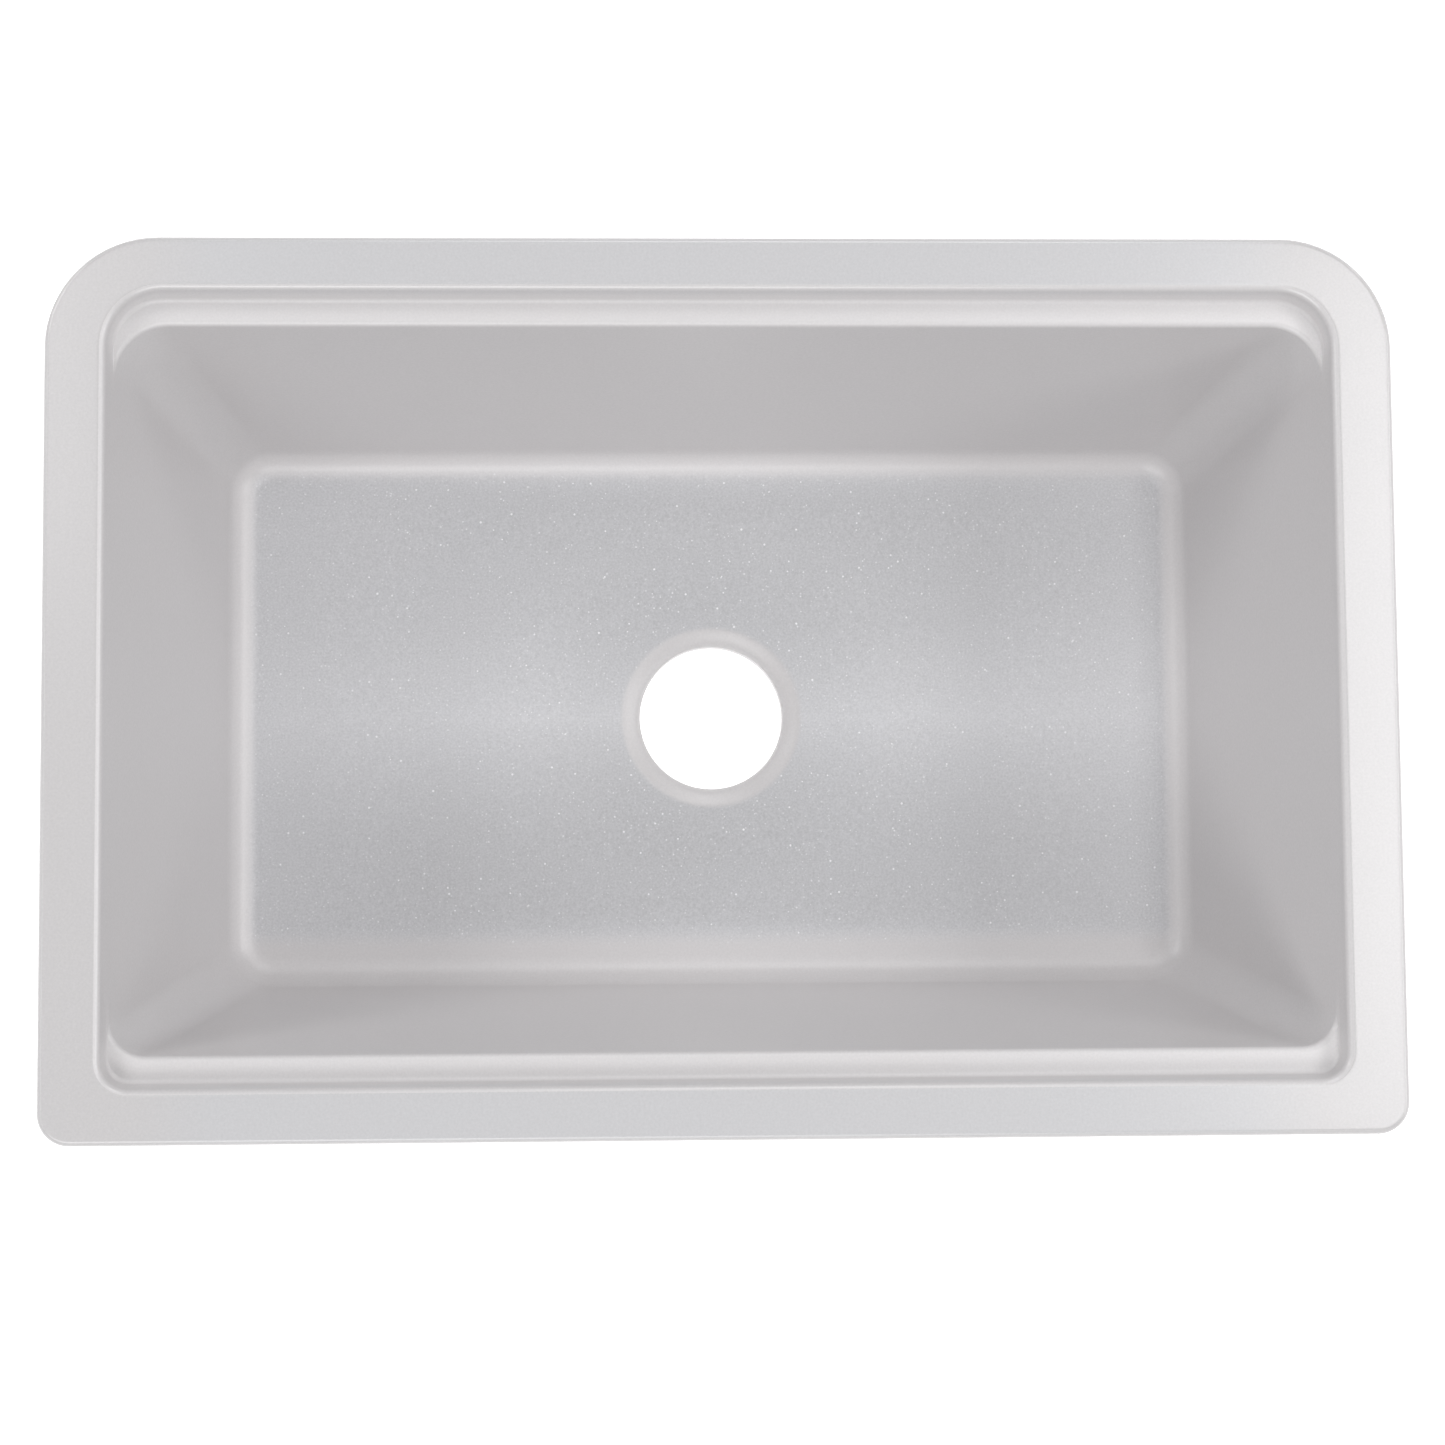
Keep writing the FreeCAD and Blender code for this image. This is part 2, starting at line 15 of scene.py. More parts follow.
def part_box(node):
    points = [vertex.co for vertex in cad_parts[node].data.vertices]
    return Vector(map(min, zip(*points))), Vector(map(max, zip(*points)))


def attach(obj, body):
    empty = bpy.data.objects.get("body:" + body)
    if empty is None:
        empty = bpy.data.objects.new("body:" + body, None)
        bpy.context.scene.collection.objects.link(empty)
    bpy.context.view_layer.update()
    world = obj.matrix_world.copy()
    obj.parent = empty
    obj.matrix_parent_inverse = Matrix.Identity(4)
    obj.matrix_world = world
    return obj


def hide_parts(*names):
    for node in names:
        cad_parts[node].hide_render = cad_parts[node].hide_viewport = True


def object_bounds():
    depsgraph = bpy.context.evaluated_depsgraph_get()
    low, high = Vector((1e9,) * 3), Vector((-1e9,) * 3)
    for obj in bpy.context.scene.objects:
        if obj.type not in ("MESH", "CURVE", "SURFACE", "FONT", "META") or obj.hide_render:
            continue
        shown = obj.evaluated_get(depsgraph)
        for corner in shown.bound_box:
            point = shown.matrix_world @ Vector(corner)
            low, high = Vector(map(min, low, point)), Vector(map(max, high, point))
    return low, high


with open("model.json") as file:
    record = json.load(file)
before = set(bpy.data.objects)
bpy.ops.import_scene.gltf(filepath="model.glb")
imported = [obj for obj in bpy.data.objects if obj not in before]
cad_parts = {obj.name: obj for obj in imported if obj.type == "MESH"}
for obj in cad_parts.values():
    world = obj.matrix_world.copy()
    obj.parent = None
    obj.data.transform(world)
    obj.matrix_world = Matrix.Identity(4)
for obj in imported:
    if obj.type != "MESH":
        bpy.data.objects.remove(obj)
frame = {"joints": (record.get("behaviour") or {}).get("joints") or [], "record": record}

bl_info = {
    "name": "Workstation Apron Sink",
    "version": (1, 0, 0),
    "blender": (4, 5, 0),
    "location": "3D View > Sidebar > Sink",
    "description": "Models the looks of a composite apron sink on its packed frame",
    "category": "Object",
}

MM = 0.001
NEAR = 0.02 * MM
QUARTER = 0.5 * math.pi
CAD_LOW, CAD_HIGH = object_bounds()
SINK_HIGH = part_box("sink_body")[1]

# Divisions of every ring that the moulding is drawn through, and of its rounded profiles
LONG_STEPS = 40
SIDE_STEPS = 24
CORNER_STEPS = 16
RETURN_STEPS = 3
RING_POINTS = 2 * LONG_STEPS + 2 * SIDE_STEPS + 4 * CORNER_STEPS
ARC_STEPS = 6
FLOOR_STEPS = 14
BASE_STEPS = 3
WALL_STEPS = 8
TURNED_POINTS = 48

# The floor's rings lie closer together near the recess
FLOOR_CROWDING = 1.3

# How far parts that are joined run into each other
OVERLAP = 0.5 * MM

# Turn between two faces, in radians, from which their edge is taken for crisp or for a right angle
CRISP_TURN = 1.0
RIGHT_TURN = 1.4

# Radius of a screw socket's mouth, in widths across its flats
SOCKET_MOUTH = 0.62

# Proportions of the screws' threads, in pitches
THREAD_DEPTH = 0.55
THREAD_START = 0.6
THREAD_RISE = 0.4
THREAD_CREST = 0.1

# Lightness of the composite, and what each of its zones adds to it: painted highlights on the coves, ledges,
# opening edge, rear step and the floor along the front wall, and painted shade on the rim, round the drain
# and in the recess. Then what the pan of the floor adds: painted shade over the whole pan, painted light
# towards its ends and a painted highlight streak along its middle through the drain, falling away over its
# reach
BODY_LIGHT = 0.895
PAINTED_ZONE_LIGHT = {"cove": 0.12, "ledge": 0.08, "rim": -0.035, "lip": 0.08, "rear_step": 0.07,
              "front_edge": 0.08, "round_drain": -0.07, "recess": -0.03}
PAN_PAINTED_SHADE = -0.115
PAN_ENDS_PAINTED_LIGHT = 0.12
PAN_PAINTED_STREAK = 0.2
PAINTED_STREAK_REACH = 50 * MM

# Softboxes that face the sink and panels that face straight down: place, width and height
SOFTBOXES = {
    "front": ((-0.5, -1.6, 1.75), (2.0, 0.6)),
    "rear": ((0.2, 1.6, 1.75), (1.0, 0.6)),
    "rear_left": ((-1.6, 1.0, 1.4), (0.6, 0.6)),
    "rear_right": ((1.5, 1.3, 1.5), (0.6, 0.6)),
    "left": ((-1.75, 0.0, 1.55), (1.5, 0.6)),
    "right": ((1.75, 0.0, 1.55), (1.5, 0.6)),
}
PANELS = {
    "right_panel": ((0.95, 0.17, 2.3), (0.3, 1.3)),
    "left_panel": ((-0.8, 0.62, 2.3), (0.2, 0.6)),
}
SINK_MIDDLE = Vector((0.0, 0.0, 0.12))
SKY_COLOUR = (0.98, 0.99, 1.0, 1.0)

# Studio floor: a grid of glowing cells, shifted so that the sink stands on one half of one cell
FLOOR_SIZE = 60.0
FLOOR_CELLS = 15
FLOOR_SHIFT = 1.0
FLOOR_GAP = 0.5 * MM
FLOOR_WHITE = (0.86, 0.86, 0.86, 1.0)
GLOW_WHITE = (1.0, 1.0, 1.0, 1.0)

# The photograph's viewpoint, almost straight above the sink
CAMERA_PLACE = (-0.0736, -0.1664, 1.9923)
CAMERA_DEGREES = (4.73, -2.30, -0.44)
CAMERA_LENS = 78.36
CAMERA_SENSOR = 36.0

Outline = namedtuple("Outline", "side front rear front_corner rear_corner")
Levels = namedtuple("Levels", "front side rear")
Station = namedtuple("Station", "name pivot angle")
Grain = namedtuple("Grain", "spacing smallest largest share floor_share")

# Grains in the composite: spacing and size, and how strongly they show, with more on the floor
GRIT = Grain(2.6 * MM, 0.2 * MM, 0.7 * MM, 0.03, 0.35)
FLECKS = Grain(2.4 * MM, 0.15 * MM, 0.75 * MM, 0.04, 0.62)
SPARKS = Grain(5 * MM, 0.3 * MM, 0.85 * MM, 0.08, 1.4)
GRAIN_EDGE = 0.25 * MM


def length(name, description, millimetres):
    """A length that a user may change, given in millimetres."""
    return FloatProperty(name=name, description=description, default=millimetres * MM, min=0.0,
                         unit="LENGTH", precision=4)


def tone(name, description, red, green, blue):
    """A colour that a user may change."""
    return FloatVectorProperty(name=name, description=description, subtype="COLOR", size=3,
                               default=(red, green, blue), min=0.0, max=1.0)


def power(name, description, watts):
    """The power of a lamp."""
    return FloatProperty(name=name, description=description, default=watts, min=0.0, unit="POWER")


def strength(name, description, default):
    """The strength of a glow, which has no unit."""
    return FloatProperty(name=name, description=description, default=default, min=0.0)


class MouldingSizes(bpy.types.PropertyGroup):
    """Sizes of the composite moulding."""

    rim_thickness: length("Rim thickness", "Thickness of the rim flange", 15)
    side_rim: length("Side rim", "Flat rim beside the opening", 33.5)
    rear_rim: length("Rear rim", "Flat rim behind the opening", 30)
    front_rim: length("Front rim", "Flat rim in front of the opening", 30.5)
    rear_corner: length("Rear corner", "Radius of the rim's rear corners", 63)
    front_corner: length("Front corner", "Radius of the rim's front corners", 18)
    edge_rounding: length("Edge rounding", "Rounding of the rim's outer edge", 3.5)
    lower_rounding: length("Lower rounding", "Rounding of the rim's lower edge", 1.5)
    opening_rear_corner: length("Opening rear corner", "Radius of the opening's rear corners", 32)
    opening_front_corner: length("Opening front corner", "Radius of the opening's front corners", 16)
    opening_rounding: length("Opening rounding", "Rounding of the opening's edge", 5)
    ledge_drop: length("Ledge drop", "Rim top down to the accessory ledges", 14)
    step_run: length("Step run", "Lean of the step between rim and ledge", 3.5)
    ledge_width: length("Ledge width", "Flat of each ledge", 14.5)
    ledge_foot: length("Ledge foot", "Cove between ledge and step", 3)
    ledge_nose: length("Ledge nose", "Rounding of the ledge's edge over the bowl", 4)
    ledge_thickness: length("Ledge thickness", "Wall below each ledge", 11)
    mouth_rear_corner: length("Mouth rear corner", "Radius of the bowl's rear corners at the ledge", 30)
    mouth_front_corner: length("Mouth front corner", "Radius of the bowl's front corners at the ledge", 20)
    floor_width: length("Floor width", "Wall foot to wall foot, left to right", 598)
    floor_length: length("Floor length", "Wall foot to wall foot, front to back", 330)
    floor_level: length("Floor level", "Height of the floor at the wall's foot", 17)
    floor_fall: length("Floor fall", "Fall of the floor to the drain", 3)
    floor_corner: length("Floor corner", "Radius of the floor's corners at the wall's foot", 25)
    cove: length("Cove", "Radius between wall and floor", 20)
    wall: length("Wall", "Thickness of the bowl's wall", 10)
    base_rounding: length("Base rounding", "Rounding under the bowl", 18)
    recess_diameter: length("Recess diameter", "Recess round the drain hole", 115)
    recess_depth: length("Recess depth", "Depth of the recess", 3)
    drain_diameter: length("Drain diameter", "Drain hole", 90)
    drain_rounding: length("Drain rounding", "Rounding of the drain hole's upper edge", 1.5)
    drain_lower_rounding: length("Drain lower rounding", "Rounding of its lower edge", 0.8)
    apron_foot: length("Apron foot", "Height of the apron's lower edge", 6)
    apron_thickness: length("Apron thickness", "Apron panel and its returns", 14)
    apron_return: length("Apron return", "Apron returned along each side", 70)
    apron_rounding: length("Apron rounding", "Rounding of the apron's lower edges", 3.5)
    rib_thickness: length("Rib thickness", "Ribs between apron and bowl", 10)
    rib_spacing: length("Rib spacing", "Rib to rib", 200)
    rib_foot: length("Rib foot", "Height of the ribs' lower edge", 40)
    boss_diameter: length("Boss diameter", "Boss under the rim at each clip", 21)
    boss_height: length("Boss height", "Boss below the rim", 6)


class HardwareSizes(bpy.types.PropertyGroup):
    """Sizes of the clips and their fasteners."""

    clip_width: length("Clip width", "Width of the clip strip", 16)
    clip_thickness: length("Clip thickness", "Thickness of the clip strip", 2.5)
    clip_reach: length("Clip reach", "Pivot to stud hole", 40)
    bend_start: length("Bend start", "Pivot to the joggle", 13)
    bend_run: length("Bend run", "Length of the joggle", 8)
    bend_rise: length("Bend rise", "Height of the joggle", 5)
    bend_radius: length("Bend radius", "Inside radius of the bends", 2)
    clip_corner: length("Clip corner", "Radius of the strip's corners", 6)
    pivot_hole: length("Pivot hole", "Hole on the screw's shoulder", 7.1)
    stud_hole: length("Stud hole", "Hole for the countertop stud", 7)
    edge_break: length("Edge break", "Softened edges of the clips", 0.3)
    head_diameter: length("Head diameter", "Screw head", 13)
    head_height: length("Head height", "Screw head", 4.5)
    head_edge: length("Head edge", "Softened edges of the screw head", 0.5)
    head_flute: length("Head flute", "Depth of the knurl round the screw head", 0.25)
    shoulder_diameter: length("Shoulder diameter", "Screw shoulder", 7)
    shoulder_edge: length("Shoulder edge", "Softened end of the screw shoulder", 0.3)
    thread_diameter: length("Thread diameter", "Screw thread", 6)
    thread_length: length("Thread length", "Screw thread", 10)
    thread_pitch: length("Thread pitch", "Ridge to ridge of the thread", 1)
    thread_point: length("Thread point", "Tapered tip of the screw", 0.6)
    socket_across: length("Socket across", "Hexagon socket, across its flats", 5)
    socket_depth: length("Socket depth", "Hexagon socket", 2.5)
    washer_diameter: length("Washer diameter", "Washer", 14)
    insert_diameter: length("Insert diameter", "Threaded insert", 9)
    insert_bore: length("Insert bore", "Bore of the insert", 6.1)
    insert_edge: length("Insert edge", "Softened edges of the insert", 0.4)
    insert_flute: length("Insert flute", "Depth of the insert's knurl", 0.3)
    insert_groove: length("Insert groove", "Depth of the groove round the insert", 0.6)
    bond_gap: length("Bond gap", "Adhesive round the insert", 0.1)


class FinishLook(bpy.types.PropertyGroup):
    """Colours of the finishes."""

    composite: tone("Composite", "Body of the composite", 0.728, 0.7055, 0.7077)
    # Cooler colour laid on the floor and the front and rear rims as painted cool skylight, and in random
    # clouds
    composite_skylit_cool: tone("Composite cool", "Cooler tone of the floor", 0.7122, 0.7143, 0.7359)
    fleck: tone("Fleck", "Bright grains in the composite", 0.95, 0.95, 0.97)
    grit: tone("Grit", "Dark grains in the composite", 0.47, 0.47, 0.485)
    zinc: tone("Zinc", "Plating of the clips and screws", 0.66, 0.665, 0.67)
    zinc_warm: tone("Warm zinc", "Passivated tint of the plating", 0.64, 0.61, 0.53)
    brass: tone("Brass", "Threaded inserts", 0.72, 0.52, 0.22)
    brass_dark: tone("Dark brass", "Tarnish of the inserts", 0.45, 0.30, 0.13)


class StageLook(bpy.types.PropertyGroup):
    """Strength of the studio's lamps and glows."""

    sky: strength("Sky", "Strength of the soft light from all round", 0.35)
    front: power("Front", "Softbox in front", 17.2)
    rear: power("Rear", "Softbox behind", 7.2)
    rear_left: power("Rear left", "Softbox at the rear left corner", 6.9)
    rear_right: power("Rear right", "Softbox at the rear right corner", 0.5)
    left: power("Left", "Softbox to the left", 4.3)
    right: power("Right", "Softbox to the right", 13.5)
    right_panel: power("Right panel", "Panel above the right rim", 6.8)
    left_panel: power("Left panel", "Small panel above the rear end of the left rim", 1.1)
    floor_glow: strength("Floor glow", "Glow of the white studio floor", 0.65)


# Selection and edit mode

def deselect():
    """Nothing selected, in object mode."""
    if bpy.context.object and bpy.context.object.mode != "OBJECT":
        bpy.ops.object.mode_set(mode="OBJECT")
    bpy.ops.object.select_all(action="DESELECT")


def activate(*pieces):
    """Selects the pieces and makes the first one active."""
    deselect()
    for piece in pieces:
        piece.select_set(True)
    bpy.context.view_layer.objects.active = pieces[0]


@contextmanager
def editing(piece):
    """Edit mode on one piece."""
    activate(piece)
    bpy.ops.object.mode_set(mode="EDIT")
    yield
    bpy.ops.object.mode_set(mode="OBJECT")


@contextmanager
def edit_mesh(piece):
    """The mesh of a piece in edit mode, updated afterwards."""
    shape = bmesh.from_edit_mesh(piece.data)
    yield shape
    bmesh.update_edit_mesh(piece.data)


def pick(piece, kind, wanted):
    """Selects the vertices, edges or faces of a piece in edit mode that wanted(item) accepts."""
    bpy.ops.mesh.select_mode(type={"verts": "VERT", "edges": "EDGE", "faces": "FACE"}[kind])
    bpy.ops.mesh.select_all(action="DESELECT")
    with edit_mesh(piece) as shape:
        for item in getattr(shape, kind):
            if wanted(item):
                item.select_set(True)
        shape.select_flush_mode()


def all_at(item, wanted):
    """True if every corner of an edge or face is where wanted(place) says."""
    return all(wanted(vert.co) for vert in item.verts)


def apply_modifier(piece, kind, **settings):
    """Adds a modifier to a piece and applies it."""
    activate(piece)
    bpy.ops.object.modifier_add(type=kind)
    modifier = piece.modifiers[-1]
    for name, setting in settings.items():
        setattr(modifier, name, setting)
    bpy.ops.object.modifier_apply(modifier=modifier.name)


def combine(piece, tool, operation):
    """Joins a tool to a piece, or cuts the piece with it, and removes the tool."""
    apply_modifier(piece, "BOOLEAN", operation=operation, solver="EXACT", object=tool)
    bpy.data.objects.remove(tool)


def join(pieces, name):
    """Several objects as one."""
    activate(*pieces)
    bpy.ops.object.join()
    pieces[0].name = name
    return pieces[0]


def smooth(piece, crisp_degrees):
    """Smooth shading, with faces that meet at more than the angle left crisp."""
    activate(piece)
    bpy.ops.object.shade_smooth_by_angle(angle=math.radians(crisp_degrees))
    apply_modifier(piece, "WEIGHTED_NORMAL", keep_sharp=True, weight=80)


def settle(piece):
    """Puts the object's place into its mesh."""
    activate(piece)
    bpy.ops.object.transform_apply(location=True, rotation=True, scale=True)


def added(operator, name, **settings):
    """A new object from one of Blender's add operators, selected alone."""
    deselect()
    operator(**settings)
    piece = bpy.context.object
    piece.name = name
    return piece


def block(name, middle, size):
    """A box with its place in its mesh, as a start for a piece."""
    piece = added(bpy.ops.mesh.primitive_cube_add, name, size=1.0, location=middle, scale=size)
    settle(piece)
    return piece


def rod(diameter, low, high, across=0.0, along=0.0):
    """An upright cylinder, used to cut or to join."""
    piece = added(bpy.ops.mesh.primitive_cylinder_add, "rod", vertices=TURNED_POINTS, radius=diameter / 2,
                  depth=high - low, location=(across, along, 0.5 * (low + high)))
    settle(piece)
    return piece


def copied(piece, name, matrix):
    """A copy with its own mesh, moved by a matrix and left at the origin."""
    activate(piece)
    bpy.ops.object.duplicate(linked=False)
    twin = bpy.context.object
    twin.name = name
    twin.data.transform(matrix)
    return twin


def dress(piece, finish, body, slot, *nodes):
    """Gives a finished piece its material and its body, and hides the nodes that it stands for."""
    piece.data.materials.clear()
    piece.data.materials.append(finish)
    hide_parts(*nodes)
    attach(piece, body)


# Stations of the clips

def stations():
    """Where each clip pivots and the way that it points when stowed, from the frame."""
    studs = {mount["name"]: Vector(mount["pos_m"]) for mount in frame["record"]["mounts"]}
    found = []
    for joint in frame["joints"]:
        name = joint["child"]
        pivot = Vector(joint["pos_m"])
        toward = studs[f"{name}_stud_hole"] - pivot
        found.append(Station(name, pivot, math.atan2(toward.y, toward.x)))
    return found


def at_station(station, level):
    """A matrix that moves a piece modelled at the origin to a clip's pivot."""
    spot = Matrix.Translation((station.pivot.x, station.pivot.y, level))
    return spot @ Matrix.Rotation(station.angle, 4, "Z")


def set_fasteners(name, pattern, level, finish, slot, node):
    """Copies a fastener to every clip's pivot, dresses the copies and removes the pattern."""
    for station in stations():
        fastener = copied(pattern, f"{name}_{station.name}", at_station(station, level))
        dress(fastener, finish, "sink", slot, node)
    bpy.data.objects.remove(pattern)


# Rings: lists of places round a piece, all in the same order

def steps(count):
    """Shares from 0 to 1, both included."""
    return [index / count for index in range(count + 1)]


def smoothstep(share):
    """A soft rise from 0 to 1."""
    share = min(max(share, 0.0), 1.0)
    return share * share * (3 - 2 * share)


def arc(radius, angle, count):
    """An arc that leaves a line and turns by an angle: how far along the line and how far off it, at
    equal turns."""
    turns = [angle * share for share in steps(count)]
    return [(radius * math.sin(turn), radius * (1 - math.cos(turn))) for turn in turns]


def setback(radius, angle):
    """From the corner of two lines to where the arc between them starts."""
    return radius * math.tan(0.5 * angle)


def circle(radius, level, points=RING_POINTS):
    """A level circle round the Z axis, in step with the rounded outlines."""
    start = -QUARTER - math.pi * LONG_STEPS / RING_POINTS
    turns = [start + 2 * math.pi * index / points for index in range(points)]
    return [Vector((radius * math.cos(turn), radius * math.sin(turn), level)) for turn in turns]


def turned(radius, level):
    """A ring of a turned fastener."""
    return circle(radius, level, TURNED_POINTS)


def fluted(radius, depth, level):
    """A turned ring with shallow upright flutes, as on a knurled edge."""
    grooves = turned(radius - depth, level)
    return [grooves[index] if index % 2 else ridge for index, ridge in enumerate(turned(radius, level))]


def hexagon(across, level):
    """A level hexagon round the Z axis."""
    places = turned(1.0, level)
    for place in places:
        turn = math.atan2(place.y, place.x) % (math.pi / 3) - math.pi / 6
        reach = 0.5 * across / math.cos(turn)
        place.x *= reach
        place.y *= reach
    return places


def mixed(first, second, share):
    """A ring part of the way between two rings."""
    return [before.lerp(after, share) for before, after in zip(first, second)]


def draw_out(name, rings, closed):
    """Draws a circle's loop out through the rings. A closed profile ends on its first ring; an open one
    is capped at both ends."""
    piece = added(bpy.ops.mesh.primitive_circle_add, name, vertices=len(rings[0]), radius=1.0,
                  fill_type="NOTHING")
    with editing(piece):
        with edit_mesh(piece) as shape:
            around = shape.verts.layers.int.new("around")
            for index, vert in enumerate(shape.verts):
                vert[around] = index
                vert.co = rings[0][index]
        bpy.ops.mesh.select_mode(type="EDGE")
        bpy.ops.mesh.select_all(action="SELECT")
        if not closed:
            bpy.ops.mesh.edge_face_add()
            pick(piece, "edges", lambda edge: True)
        for ring in rings[1:]:
            bpy.ops.mesh.extrude_edges_indiv()
            with edit_mesh(piece) as shape:
                around = shape.verts.layers.int["around"]
                for vert in shape.verts:
                    if vert.select:
                        vert.co = ring[vert[around]]
        if not closed:
            bpy.ops.mesh.edge_face_add()
        bpy.ops.mesh.select_all(action="SELECT")
        bpy.ops.mesh.remove_doubles(threshold=0.1 * NEAR)
        bpy.ops.mesh.normals_make_consistent(inside=False)
    piece.data.attributes.remove(piece.data.attributes["around"])
    return piece


def grown(outline, by):
    """An outline moved outwards, or inwards by less than nothing."""
    return Outline(*(reach + by for reach in outline))


def blended(first, second, share):
    """An outline part of the way between two."""
    return Outline(*(before + (after - before) * share for before, after in zip(first, second)))


class MouldingRings:
    """The rings of the moulding, worked out from its sizes."""

    def __init__(self, sizes):
        self.sizes = sizes
        self.top = SINK_HIGH.z
        half_width = SINK_HIGH.x
        half_length = SINK_HIGH.y
        self.rim = Outline(half_width, half_length, half_length, sizes.front_corner, sizes.rear_corner)
        self.opening = Outline(half_width - sizes.side_rim, half_length - sizes.front_rim,
                               half_length - sizes.rear_rim, sizes.opening_front_corner,
                               sizes.opening_rear_corner)
        self.underside = self.top - sizes.rim_thickness
        self.ledge = self.top - sizes.ledge_drop
        self.foot = Outline(sizes.floor_width / 2, sizes.floor_length / 2, sizes.floor_length / 2,
                            sizes.floor_corner, sizes.floor_corner)
        self.side_lean = (self.opening.side - self.foot.side) / (self.top - sizes.floor_level)
        ledge_reach = sizes.step_run + sizes.ledge_width
        self.mouth = Outline(self.opening.side - self.side_lean * sizes.ledge_drop,
                             self.opening.front - ledge_reach, self.opening.rear - ledge_reach,
                             sizes.mouth_front_corner, sizes.mouth_rear_corner)
        self.long_lean = (self.mouth.rear - self.foot.rear) / (self.ledge - sizes.floor_level)
        self.return_end = sizes.apron_return - self.rim.front

    def side_shares(self):
        """Places along a side from front to back, with one at the end of the apron's return."""
        sizes = self.sizes
        run = self.rim.front + self.rim.rear - sizes.front_corner - sizes.rear_corner
        return_share = (sizes.apron_return - sizes.front_corner) / run
        near = [return_share * share for share in steps(RETURN_STEPS)]
        far = [return_share + (1 - return_share) * share for share in steps(SIDE_STEPS - RETURN_STEPS)]
        return near + far[1:]

    def section(self, outline, level):
        """A ring on a rounded outline. The level is one height, or heights at the front, sides and
        back that fade into each other round the corners."""
        levels = level if isinstance(level, Levels) else Levels(level, level, level)
        side, front, rear, front_corner, rear_corner = outline
        places = []

        def run(start, end, shares, height):
            for share in shares[:-1]:
                place = Vector(start).lerp(Vector(end), share)
                places.append(Vector((place.x, place.y, height)))

        def corner(across, along, radius, degrees, first, last):
            for share in steps(CORNER_STEPS)[:-1]:
                turn = math.radians(degrees + 90 * share)
                height = first + (last - first) * smoothstep(share)
                places.append(Vector((across + radius * math.cos(turn),
                                      along + radius * math.sin(turn), height)))

        shares = self.side_shares()
        back_shares = [1 - share for share in reversed(shares)]
        front_side, front_along = side - front_corner, front_corner - front
        rear_side, rear_along = side - rear_corner, rear - rear_corner
        run((-front_side, -front), (front_side, -front), steps(LONG_STEPS), levels.front)
        corner(front_side, front_along, front_corner, 270, levels.front, levels.side)
        run((side, front_along), (side, rear_along), shares, levels.side)
        corner(rear_side, rear_along, rear_corner, 0, levels.side, levels.rear)
        run((rear_side, rear), (-rear_side, rear), steps(LONG_STEPS), levels.rear)
        corner(-rear_side, rear_along, rear_corner, 90, levels.rear, levels.side)
        run((-side, rear_along), (-side, front_along), back_shares, levels.side)
        corner(-front_side, front_along, front_corner, 180, levels.side, levels.front)
        return places

    def drain(self):
        """Bore and recess, from the lower edge up to the floor."""
        sizes = self.sizes
        bore = sizes.drain_diameter / 2
        seat = sizes.floor_level - sizes.floor_fall - sizes.recess_depth
        lower, upper = sizes.drain_lower_rounding, sizes.drain_rounding
        rings = [circle(bore + lower - along, off) for along, off in arc(lower, QUARTER, ARC_STEPS // 2)]
        rings += [circle(bore + off, seat - upper + along) for along, off in arc(upper, QUARTER, ARC_STEPS)]
        inner, outer = bore + upper, sizes.recess_diameter / 2
        for share in steps(2 * ARC_STEPS)[1:]:
            level = seat + sizes.recess_depth * smoothstep(share)
            rings.append(circle(inner + (outer - inner) * share, level))
        return rings

    def rounded(self, outline, radius, lean, level, count):
        """Rings of an arc between a level face and a wall that leans outwards above it."""
        angle = QUARTER - math.atan(lean)
        inward = setback(radius, angle)
        return [self.section(grown(outline, along - inward), level + off)
                for along, off in arc(radius, angle, count)]

    def floor_and_wall(self):
        """Floor from the recess to the wall, cove and wall up to the ledge's nose."""
        sizes = self.sizes
        lean = 0.5 * (self.side_lean + self.long_lean)
        cove = self.rounded(self.foot, sizes.cove, lean, sizes.floor_level, 2 * ARC_STEPS)
        start = circle(sizes.recess_diameter / 2, sizes.floor_level - sizes.floor_fall)
        rings = [mixed(start, cove[0], share ** FLOOR_CROWDING) for share in steps(FLOOR_STEPS)[1:-1]]
        rings += cove
        low = cove[-1][0].z
        high = self.nose_profile()[0][1]
        for share in steps(WALL_STEPS)[1:-1]:
            level = low + (high - low) * share
            rise = (level - sizes.floor_level) / (self.ledge - sizes.floor_level)
            rings.append(self.section(blended(self.foot, self.mouth, rise), level))
        return rings

    def nose_profile(self):
        """Distance in from the opening and height, from the wall up over the ledge's nose."""
        sizes = self.sizes
        angle = QUARTER - math.atan(self.long_lean)
        across = sizes.step_run + sizes.ledge_width - setback(sizes.ledge_nose, angle)
        nose = arc(sizes.ledge_nose, angle, ARC_STEPS)
        return [(across + along, self.ledge - off) for along, off in reversed(nose)]

    def step_profile(self):
        """The same, from the ledge up the step and over the opening's edge."""
        sizes = self.sizes
        angle = QUARTER - math.atan(sizes.step_run / sizes.ledge_drop)
        foot_start = sizes.step_run + setback(sizes.ledge_foot, angle)
        edge_end = setback(sizes.opening_rounding, angle)
        foot = arc(sizes.ledge_foot, angle, ARC_STEPS)
        edge = arc(sizes.opening_rounding, angle, ARC_STEPS)
        return ([(foot_start - along, self.ledge + off) for along, off in foot],
                [(along - edge_end, self.top - off) for along, off in reversed(edge)])

